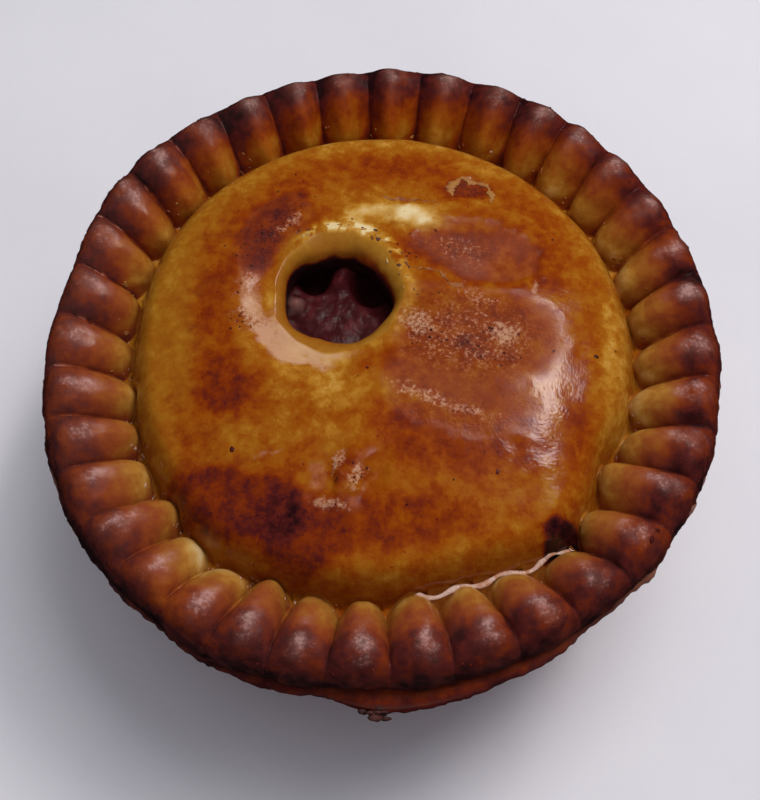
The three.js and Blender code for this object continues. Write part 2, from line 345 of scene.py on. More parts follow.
class Nodes:
    """A short hand for laying out one node tree."""

    def __init__(self, tree: Tree) -> None:
        """Keep the tree."""
        self.tree = tree

    def add(self, kind: str, inputs: dict[str | int, object] | None = None,
            **settings: object) -> bpy.types.Node:
        """Add a node, set its properties and feed its inputs.

        Args:
            kind: The node's type.
            inputs: Values or sockets, by the name or number of the input.
            **settings: Property names and values.

        Returns:
            The new node.
        """
        node = self.tree.nodes.new(kind)
        for key, value in settings.items():
            setattr(node, key, value)
        for key, value in (inputs or {}).items():
            self.feed(node.inputs[key], value)
        return node

    def feed(self, target: object, value: object) -> None:
        """Link a socket to an input, or set the input to a plain value.

        Args:
            target: The input socket.
            value: An output socket, a number or a colour.
        """
        if isinstance(value, bpy.types.NodeSocket):
            self.tree.links.new(value, target)
        elif isinstance(value, tuple) and len(value) == 3 and len(target.default_value) == 4:
            target.default_value = (*value, 1.0)
        else:
            target.default_value = value

    def math(self, operation: str, a: object, b: object = 0.0, clamp: bool = False) -> object:
        """Output of a Math node on two values."""
        return self.add("ShaderNodeMath", {0: a, 1: b}, operation=operation, use_clamp=clamp).outputs[0]

    def mix(self, factor: object, a: object, b: object) -> object:
        """Mix two colours, by how much of the second one shows."""
        return self.add("ShaderNodeMix", {0: factor, 6: a, 7: b}, data_type="RGBA").outputs[2]

    def plus(self, a: object, b: object, clamp: bool = False) -> object:
        """Add two values."""
        return self.math("ADD", a, b, clamp)

    def times(self, a: object, b: object, clamp: bool = False) -> object:
        """Multiply two values."""
        return self.math("MULTIPLY", a, b, clamp)

    def swing(self, noise: object) -> object:
        """Shift noise of 0 to 1 so that it swings about 0."""
        return self.math("SUBTRACT", noise, 0.5)

    def span(self, value: object, low: float, high: object,
             to_low: float = 0.0, to_high: float = 1.0) -> object:
        """Map one span of numbers smoothly on to another, and stay within that."""
        inputs = dict(enumerate((value, low, high, to_low, to_high)))
        return self.add("ShaderNodeMapRange", inputs, interpolation_type="SMOOTHSTEP").outputs[0]

    def noise(self, where: object, scale: object, detail: float = 3.0, rough: float = 0.55) -> object:
        """Noise of 0 to 1 at coordinates, with a number of bumps in a metre."""
        inputs = {"Vector": where, "Scale": scale, "Detail": detail, "Roughness": rough}
        return self.add("ShaderNodeTexNoise", inputs).outputs[0]

    def mask(self, name: str) -> object:
        """Read a vertex mask by its name."""
        return self.add("ShaderNodeAttribute", attribute_name=name).outputs["Fac"]


def per_metre(width_mm: float) -> float:
    """Turn the width of a bump in millimetres into a texture scale."""
    return 1.0 / (width_mm * MM)


def linear(*channels: int) -> Colour:
    """Turn a colour seen on a screen, 0 to 255, into linear light."""
    shares = (channel / 255.0 for channel in channels)
    return tuple(v / 12.92 if v <= 0.04045 else ((v + 0.055) / 1.055) ** 2.4 for v in shares)


class GroupKind(Enum):
    """The shader groups that several finishes share."""

    MOTTLE = "mottle"
    BAKE_COLOUR = "bake_colour"
    CRUST_GRAIN = "crust_grain"


class ShaderGroups:
    """Builds each shared shader group once."""

    BAKE_STOPS: tuple[tuple[float, Colour], ...] = (
        (0.00, linear(226, 204, 156)),
        (0.12, linear(204, 160, 86)),
        (0.24, linear(178, 121, 38)),
        (0.36, linear(158, 93, 20)),
        (0.48, linear(149, 74, 11)),
        (0.60, linear(136, 55, 9)),
        (0.72, linear(115, 40, 14)),
        (0.84, linear(85, 28, 25)),
        (1.00, linear(38, 14, 17)),
    )
    # Tints over the baked colour: the pinkish first one is a painted reflection of the sky on rough glaze
    # and a painted sheen on the knobs; the olive one is the pastry's own; the grey one is the own grey of
    # ledge and crumbs and also a painted lilac sheen on the knobs.
    FILMS: dict[str, Colour] = {
        "Dust": linear(158, 86, 58),
        "Olive": linear(160, 122, 34),
        "Grey": linear(146, 118, 108),
    }

    def __init__(self) -> None:
        """Build all the groups."""
        self.trees = {
            GroupKind.MOTTLE: self._mottle(),
            GroupKind.BAKE_COLOUR: self._bake_colour(),
            GroupKind.CRUST_GRAIN: self._crust_grain(),
        }

    def place(self, nodes: Nodes, kind: GroupKind, **inputs: object) -> bpy.types.Node:
        """Put a group in a material, with values or sockets by input name with _ for spaces."""
        fed = {name.replace("_", " ").capitalize(): value for name, value in inputs.items()}
        return nodes.add("ShaderNodeGroup", fed, node_tree=self.trees[kind])

    @staticmethod
    def _new(kind: GroupKind, inputs: dict[str, float | None], outputs: tuple[str, ...],
             output_type: str = "NodeSocketFloat") -> tuple[Nodes, object, object]:
        """Start a group with named sockets.

        Args:
            kind: Which group.
            inputs: Default of each input by its name; None stands for coordinates.
            outputs: Names of the outputs.
            output_type: Their socket type.

        Returns:
            The tree's helper, its input node's outputs and its output node's inputs.
        """
        tree = bpy.data.node_groups.new(kind.value, "ShaderNodeTree")
        for label, default in inputs.items():
            socket_type = "NodeSocketVector" if default is None else "NodeSocketFloat"
            socket = tree.interface.new_socket(label, in_out="INPUT", socket_type=socket_type)
            if default is not None:
                socket.default_value = default
        for label in outputs:
            tree.interface.new_socket(label, in_out="OUTPUT", socket_type=output_type)
        nodes = Nodes(tree)
        return nodes, nodes.add("NodeGroupInput").outputs, nodes.add("NodeGroupOutput").inputs

    def _mottle(self) -> Tree:
        """Cloudy unevenness around 0, coarse and fine together.

        Returns:
            The group's tree.
        """
        inputs = {"Vector": None, "Coarse scale": 200.0, "Fine scale": 900.0, "Fine share": 0.4}
        nodes, given, result = self._new(GroupKind.MOTTLE, inputs, ("Value",))
        coarse = nodes.noise(given["Vector"], given["Coarse scale"], 4.0)
        fine = nodes.noise(given["Vector"], given["Fine scale"], 3.0, 0.6)
        fine = nodes.times(nodes.swing(fine), given["Fine share"])
        nodes.feed(result["Value"], nodes.plus(nodes.swing(coarse), fine))
        return nodes.tree

    def _bake_colour(self) -> Tree:
        """Colour of pastry at a depth of baking, from raw cream to burnt, under its films, two of which
        partly carry painted sheen.

        Returns:
            The group's tree.
        """
        inputs = {"Bake": 0.4, **dict.fromkeys(self.FILMS, 0.0)}
        nodes, given, result = self._new(GroupKind.BAKE_COLOUR, inputs, ("Colour",), "NodeSocketColor")
        ramp = nodes.add("ShaderNodeValToRGB")
        ramp.color_ramp.interpolation = "LINEAR"
        stops = ramp.color_ramp.elements
        for stop, (place, colour) in zip(stops, (self.BAKE_STOPS[0], self.BAKE_STOPS[-1])):
            stop.position = place
            stop.color = (*colour, 1.0)
        for place, colour in self.BAKE_STOPS[1:-1]:
            stops.new(place).color = (*colour, 1.0)
        nodes.feed(ramp.inputs[0], given["Bake"])
        shown = ramp.outputs[0]
        for film, colour in self.FILMS.items():
            shown = nodes.mix(given[film], shown, colour)
        nodes.feed(result["Colour"], shown)
        return nodes.tree

    def _crust_grain(self) -> Tree:
        """Height, pits and fine noises of the skin of glazed pastry.

        Returns:
            The group's tree.
        """
        outputs = ("Height", "Specks", "Flecks", "Blotches")
        nodes, given, result = self._new(GroupKind.CRUST_GRAIN, {"Vector": None, "Blister": 0.0}, outputs)

        def grain(width: float, detail: float, rough: float) -> object:
            """Noise with bumps of a width in millimetres."""
            return nodes.noise(given["Vector"], per_metre(width), detail, rough)

        orange_peel = nodes.times(grain(1.3, 3.0, 0.6), 0.12)
        smooth_skin = nodes.plus(orange_peel, nodes.times(grain(0.42, 2.0, 0.5), 0.07))
        rough_skin = nodes.times(grain(0.75, 5.0, 0.75), nodes.times(given["Blister"], 1.5))
        nodes.feed(result["Height"], nodes.plus(smooth_skin, rough_skin))
        nodes.feed(result["Specks"], nodes.span(grain(0.6, 2.0, 0.5), 0.69, 0.76))
        nodes.feed(result["Flecks"], grain(0.5, 4.0, 0.68))
        nodes.feed(result["Blotches"], grain(2.0, 6.0, 0.68))
        return nodes.tree


class Coat:
    """A material under way, with its coordinates and its cloudy unevenness laid out."""

    def __init__(self, name: str, groups: ShaderGroups, coarse: float, fine: float, share: float) -> None:
        """Start the material.

        Args:
            name: The material's name.
            groups: The shared shader groups.
            coarse: Width of its large clouds in millimetres.
            fine: Width of its small clouds in millimetres.
            share: How strong the small clouds are.
        """
        self.material = bpy.data.materials.new(name)
        self.material.use_nodes = True
        self.nodes = Nodes(self.material.node_tree)
        self.shader = self.material.node_tree.nodes["Principled BSDF"]
        self.where = self.nodes.add("ShaderNodeTexCoord").outputs["Object"]
        mottle = groups.place(
            self.nodes, GroupKind.MOTTLE, vector=self.where,
            coarse_scale=per_metre(coarse), fine_scale=per_metre(fine), fine_share=share)
        self.mottle = mottle.outputs["Value"]

    def give(self, inputs: dict[str, object]) -> None:
        """Link or set the shader's inputs by their names."""
        for name, value in inputs.items():
            self.nodes.feed(self.shader.inputs[name], value)

    def bump(self, height: object, distance: float, strength: float = 1.0) -> None:
        """Raise the skin by a share of a height socket, whose 1 stands for a distance in metres."""
        inputs = {"Strength": strength, "Distance": distance, "Height": height}
        self.give({"Normal": self.nodes.add("ShaderNodeBump", inputs).outputs[0]})


# ---- finishes


@dataclass(frozen=True)
class CrustFinish:
    """Egg-washed hot-water pastry, coloured by how far it has baked, with painted highlights, glints and
    sheen laid over it.
    """

    name: str = "glazed_crust"
    gloss_roughness: float = 0.11
    dry_roughness: float = 0.55
    roughness_swing: float = 0.2
    bump_height: float = 0.0002
    speck_darkness: float = 0.17
    unevenness: float = 0.31
    blotch: float = 0.085
    blister_contrast: float = 0.9
    shine: float = 0.32
    ior: float = 1.46
    # Colour, strength and thresholds of the painted highlights, glints and sheen that stand for light on the
    # glaze.
    painted_highlight: Colour = linear(214, 170, 138)
    rim_painted_highlight: Colour = linear(200, 156, 150)
    painted_highlight_strength: float = 0.66
    film_from: float = 0.18
    film_full: float = 0.78
    rim_film_full: float = 0.84
    rim_sheen: float = 0.5

    def material(self, groups: ShaderGroups) -> Material:
        """Build the finish.

        Args:
            groups: The shared shader groups.

        Returns:
            The material.
        """
        coat = Coat(self.name, groups, 3.6, 0.8, 0.5)
        nodes = coat.nodes
        blister = nodes.mask("blister")
        grain = groups.place(nodes, GroupKind.CRUST_GRAIN, vector=coat.where, blister=blister).outputs
        bake = self._bake(coat, grain, blister)
        colour = groups.place(nodes, GroupKind.BAKE_COLOUR, bake=bake, dust=nodes.mask("dust"),
                              olive=nodes.mask("olive"), grey=nodes.mask("grey"))
        # Painted highlights over the baked colour, pinker on the rim.
        film = nodes.times(self._film(nodes, grain["Flecks"], blister), self.painted_highlight_strength)
        film_colour = nodes.mix(nodes.mask("pink"), self.painted_highlight, self.rim_painted_highlight)
        rough = nodes.span(nodes.mask("gloss"), 0.0, 1.0, self.dry_roughness, self.gloss_roughness)
        coat.give({
            "Base Color": nodes.mix(film, colour.outputs["Colour"], film_colour),
            "Roughness": nodes.plus(rough, nodes.times(coat.mottle, self.roughness_swing), clamp=True),
            "IOR": self.ior,
            "Specular IOR Level": self.shine,
        })
        coat.bump(grain["Height"], self.bump_height)
        return coat.material

    def _bake(self, coat: Coat, grain: object, blister: object) -> object:
        """How far each place has baked: its mask, made uneven, with dark specks.

        Args:
            coat: The material under way.
            grain: Outputs of the grain group.
            blister: How blistered the skin is, 0 to 1.

        Returns:
            The socket of the baking, 0 to 1.
        """
        nodes = coat.nodes
        uneven = nodes.plus(nodes.times(coat.mottle, self.unevenness),
                            nodes.span(grain["Blotches"], 0.36, 0.64, -self.blotch, self.blotch))
        rough_spots = nodes.times(nodes.swing(grain["Flecks"]), nodes.times(blister, -self.blister_contrast))
        less_when_pale = nodes.span(nodes.mask("bake"), 0.05, 0.40, 0.3, 1.0)
        uneven = nodes.times(nodes.plus(uneven, rough_spots), less_when_pale)
        uneven = nodes.times(uneven, nodes.span(nodes.mask("speck"), 0.0, 0.9, 0.5, 1.0))
        specks = nodes.times(grain["Specks"], nodes.times(nodes.mask("speck"), self.speck_darkness))
        return nodes.plus(nodes.plus(nodes.mask("bake"), uneven), specks, clamp=True)

    def _film(self, nodes: Nodes, flecks: object, blister: object) -> object:
        """Where painted highlights lie: glints broken up on blistered skin, and a soft painted sheen on the
        rim.

        Args:
            nodes: The material's tree.
            flecks: Fine noise from 0 to 1.
            blister: How blistered the skin is, 0 to 1.

        Returns:
            The socket of the painted highlights' strength, 0 to 1.
        """
        painted_highlight = nodes.mask("painted_highlight")
        wobble = nodes.times(nodes.mask("speck"), nodes.span(blister, 0.0, 0.6, 0.9, 2.6))
        broken = nodes.times(nodes.swing(flecks), wobble)
        pink = nodes.mask("pink")
        full = nodes.span(pink, 0.0, 1.0, self.film_full, self.rim_film_full)
        glints = nodes.span(nodes.plus(painted_highlight, broken), self.film_from, full)
        sheen = nodes.times(nodes.span(painted_highlight, 0.05, 0.95), nodes.times(pink, self.rim_sheen))
        only_in_bloom = nodes.times(painted_highlight, 6.0, clamp=True)
        return nodes.times(nodes.math("MAXIMUM", glints, sheen), only_in_bloom)


@dataclass(frozen=True)
class MeatFinish:
    """Dark, moist cooked pork with pale fat."""

    name: str = "cooked_pork"
    lean: Colour = linear(108, 34, 37)
    dark: Colour = linear(60, 16, 20)
    fat: Colour = linear(190, 150, 138)
    wet_roughness: float = 0.30
    dry_roughness: float = 0.55
    bump_height: float = 0.00018
    ior: float = 1.42

    def material(self, groups: ShaderGroups) -> Material:
        """Build the finish.

        Args:
            groups: The shared shader groups.

        Returns:
            The material.
        """
        coat = Coat(self.name, groups, 1.8, 0.5, 0.35)
        nodes = coat.nodes
        tone = nodes.plus(nodes.mask("lean"), coat.mottle)
        meat = nodes.mix(nodes.span(tone, 0.1, 0.9), self.dark, self.lean)
        coat.give({
            "Base Color": nodes.mix(nodes.mask("fat"), meat, self.fat),
            "Roughness": nodes.span(coat.mottle, -0.4, 0.4, self.wet_roughness, self.dry_roughness),
            "IOR": self.ior,
        })
        coat.bump(coat.mottle, self.bump_height)
        return coat.material


@dataclass(frozen=True)
class CloudedFinish:
    """A finish of two tones that meet in soft clouds; bump is its height and its strength."""

    name: str
    tint: Colour
    shade: Colour
    clouds: Triple
    contrast: float
    inputs: Inputs
    bump: tuple[float, float] | None = None

    def material(self, groups: ShaderGroups) -> Material:
        """Build the finish.

        Args:
            groups: The shared shader groups.

        Returns:
            The material.
        """
        coat = Coat(self.name, groups, *self.clouds)
        clouds = coat.nodes.span(coat.mottle, -self.contrast, self.contrast)
        coat.give({"Base Color": coat.nodes.mix(clouds, self.tint, self.shade), **dict(self.inputs)})
        if self.bump:
            coat.bump(coat.mottle, *self.bump)
        return coat.material


@dataclass(frozen=True)
class JellyFinish(CloudedFinish):
    """Clear savoury jelly, amber where it is deep."""

    name: str = "savoury_jelly"
    tint: Colour = linear(160, 88, 34)
    shade: Colour = tuple(0.72 * channel for channel in linear(160, 88, 34))
    clouds: Triple = (2.2, 0.8, 0.3)
    contrast: float = 0.3
    inputs: Inputs = (("Roughness", 0.06), ("Alpha", 0.34), ("IOR", 1.37))
    bump: tuple[float, float] | None = (0.0001, 0.4)


@dataclass(frozen=True)
class JellyGlintFinish(CloudedFinish):
    """Pale, cloudy, wet jelly whose brightness is painted light: a highlight along the pool's bead and
    glints on the flecks in the gutter.
    """

    name: str = "jelly_glint"
    tint: Colour = linear(232, 200, 186)
    shade: Colour = linear(196, 132, 92)
    clouds: Triple = (1.6, 0.6, 0.4)
    contrast: float = 0.2
    inputs: Inputs = (("Roughness", 0.14), ("Transmission Weight", 0.25), ("IOR", 1.4))


@dataclass(frozen=True)
class TableFinish(CloudedFinish):
    """The pale, faintly uneven table top."""

    name: str = "pale_table"
    tint: Colour = linear(236, 235, 242)
    shade: Colour = linear(228, 227, 236)
    clouds: Triple = (60.0, 1.2, 0.2)
    contrast: float = 0.3
    inputs: Inputs = (("Roughness", 0.6),)


# ---- pie's shape


@dataclass(frozen=True)
class PieForm:
    """Sizes of the pie and the formulas for its lid, rim and steam hole."""

    crest_z: float
    dome_rise: float = 3.0
    gutter_radius: float = 36.9
    gutter_depth: float = 7.2
    crimp_reach: float = 46.9
    ledge_reach: float = 47.9
    wall_top_radius: float = 44.2
    base_radius: float = 35.2
    lid_thickness: float = 4.6
    wall_thickness: float = 5.0
    base_thickness: float = 5.5
    crimps: int = 36
    first_crease: float = 3.1
    hole_x: float = -5.9
    hole_y: float = 5.4
    hole_radius: float = 7.25
    lip_radius: float = 9.1
    lip_stretch: float = 0.8
    lip_shift: tuple[float, float] = (0.3, 0.6)
    spacing_waves: Waves = (
        (1, 0.4, 170.0), (2, 1.0, -7.0), (3, 0.36, 104.0), (4, 0.26, -122.0), (5, 0.26, -133.0),
    )
    rim_bulges: Triples = (
        (78.0, 48.0, 1.6), (20.0, 20.0, 0.3), (45.0, 16.0, 0.3), (106.0, 12.0, -0.4), (140.0, 16.0, 1.3),
        (166.0, 10.0, -0.9), (216.0, 18.0, 1.4), (244.0, 12.0, 1.3), (306.0, 14.0, -0.1), (338.0, 24.0, 0.7),
    )
    rim_lift: Triples = ((60.0, 55.0, 0.9),)
    gutter_bulges: Triples = (
        (182.0, 26.0, -1.5), (232.0, 9.0, 0.7), (282.0, 14.0, -0.9), (310.0, 11.0, 1.5),
        (331.0, 8.0, -1.5), (0.0, 26.0, -0.4),
    )
    ledge_waves: Waves = ((5, 0.2, 20.0), (9, 0.24, 75.0), (16, 0.2, -40.0), (25, 0.16, 130.0))
    ledge_bulges: Triples = (
        (-84.0, 17.0, 1.1), (222.0, 24.0, -1.4), (312.0, 14.0, -0.8), (333.0, 2.4, 0.9),
        (319.0, 2.2, 1.1), (338.0, 24.0, -1.0),
    )
    lid_waves: Waves = ((2, 0.35, 40.0), (3, 0.25, -70.0))
    lip_waves: Waves = ((1, 0.16, -50.0), (3, 0.1, 0.0))
    bore_waves: Waves = ((2, 0.25, 60.0), (5, 0.25, 10.0))
    belly_waves: Waves = ((2, 0.5, 15.0), (5, 0.3, 80.0))
    shoulder_from: float = 32.0
    jelly_level: float = 5.0

    @classmethod
    def from_frame(cls) -> "PieForm":
        """Take the rim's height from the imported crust: the rolled lip stands 3.6 mm above it."""
        lip_above_crests = 3.6
        return cls(crest_z=round(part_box("crust")[1][2] / MM - lip_above_crests, 1))

    @property
    def hole(self) -> Points:
        """Middle of the steam hole, seen from above."""
        return np.array([self.hole_x, self.hole_y])

    @property
    def under_lid(self) -> float:
        """Height of the lid's underside at the gutter."""
        return self.crest_z - self.gutter_depth - self.lid_thickness

    def rim_bulge(self, azimuth: Amount) -> Amount:
        """How far the hand-pressed rim stands out of round, in mm."""
        return bulge(self.rim_bulges, azimuth)

    def gutter_at(self, azimuth: Amount) -> Amount:
        """How far the gutter lies from the middle, in mm."""
        return self.gutter_radius + bulge(self.gutter_bulges, azimuth)

    def lip_reach(self, angle: Field) -> Field:
        """Radius of the steam hole's lip, longer front to back, at angles about its middle."""
        return self.lip_radius + self.lip_stretch * np.sin(angle) ** 2

    def past_lip(self, plan: Points) -> tuple[Field, Field]:
        """Place of points beside the steam hole's lip.

        Args:
            plan: x and y in mm.

        Returns:
            How far each point lies outside the lip in mm, and its angle about the hole.
        """
        x, y = (plan - self.hole - self.lip_shift).T
        angle = np.arctan2(y, x)
        return np.hypot(x, y) - self.lip_reach(angle), angle

    def ledge_tear(self, azimuth: Field) -> Field:
        """How far the ragged ledge stands out of its mean circle, in mm."""
        return ripple(self.ledge_waves, azimuth) + bulge(self.ledge_bulges, azimuth)

    def crease_azimuth(self, k: Field) -> Field:
        """Azimuth in radians of a crease by its number, or of a place between two."""
        even = np.asarray(k, float) * 360.0 / self.crimps
        return np.radians(self.first_crease + even + ripple(self.spacing_waves, np.radians(even)))

    def lid_height(self, r: Field) -> Field:
        """Height of the smooth lid above the table.

        Args:
            r: Distances from the middle in mm.

        Returns:
            Heights in mm.
        """
        r = np.asarray(r, float)
        crown = self.dome_rise * (1 - (r / 31.5) ** 2.4)
        past = np.clip((r - self.shoulder_from) / (self.gutter_radius - self.shoulder_from), 0.0, 1.6)
        return self.crest_z + np.maximum(crown - 7.4 * past**2.4, -7.6)

    def lid_undulation(self, azimuth: Field, r: Field) -> Field:
        """Lift of the lid's slow unevenness in mm, at azimuths in radians and distances from the middle."""
        edge = smoothstep(self.gutter_radius - r, 0.0, 8.0)
        return np.minimum(r / 18.0, 1.0) * edge * ripple(self.lid_waves, azimuth)

    def from_hole(self, points: Points) -> Field:
        """Distance of each point from the steam hole's axis, in mm."""
        return np.linalg.norm(points[:, :2] - self.hole, axis=1)


class Zone(Enum):
    """Which part of the crust a vertex belongs to."""

    LID = 0
    RIM = 1
    LEDGE = 2
    WALL = 3
    BASE = 4
    BORE = 5
    INSIDE = 6


@dataclass
class Skin:
    """Rings of the crust, each with its zone and its place on the crimps."""

    rings: Rings = field(default_factory=Rings)
    zones: list[Field] = field(default_factory=list)
    outward: list[Field] = field(default_factory=list)
    flank: list[Field] = field(default_factory=list)

    def lay(self, zone: Zone, ring: Points, outward: float = 0.0, flank: Field | None = None) -> None:
        """Add a ring.

        Args:
            zone: The part of the crust it belongs to.
            ring: Its points.
            outward: Place across the rim, 0 at the gutter and 1 outside.
            flank: Place of each point across its crimp, -1 to 1.
        """
        self.rings.add(ring)
        self.zones.append(np.full(len(ring), zone.value))
        self.outward.append(np.full(len(ring), outward))
        self.flank.append(np.zeros(len(ring)) if flank is None else flank)

    def tags(self) -> tuple[Field, Field, Field]:
        """Zone, outward and flank of every vertex, the two end caps included."""
        ends = ((Zone.BASE.value, Zone.INSIDE.value), (0.0, 0.0), (0.0, 0.0))
        return tuple(np.concatenate([*row, end])
                     for row, end in zip((self.zones, self.outward, self.flank), ends))


@dataclass
class Sites:
    """Where each vertex of the crust lies, before the relief."""

    form: PieForm
    points: Points
    plan: Points
    zones: Field
    outward: Field
    flank: Field
    noise: Noise
    light_azimuth: float = 40.0

    def __post_init__(self) -> None:
        """Work out what several masks share."""
        x, y = self.points[:, 0], self.points[:, 1]
        self.azimuth = np.degrees(np.arctan2(y, x)) % 360.0
        self.to_shade = np.sin(np.radians(self.azimuth - self.light_azimuth))
        self.r = np.hypot(x, y)
        self.past_lip, lip_turn = self.form.past_lip(self.points[:, :2])
        self.lip_angle = np.degrees(lip_turn)
        self.hole_angle = np.degrees(np.arctan2(y - self.form.hole_y, x - self.form.hole_x))
        self.knob = smoothstep(self.outward, 0.34, 0.52)

    def within(self, zone: Zone) -> Field:
        """1 in a part of the crust and 0 elsewhere."""
        return (self.zones == zone.value).astype(float)

    def about(self, centre: float, spread: float) -> Field:
        """1 at an azimuth and fading to 0 with distance from it, in degrees."""
        return hump(self.azimuth, centre, spread)


def held_back(bake: Field, knee: float, slope: float) -> Field:
    """Let baking past a knee rise only by a share of it."""
    return np.where(bake > knee, knee + slope * (bake - knee), bake)


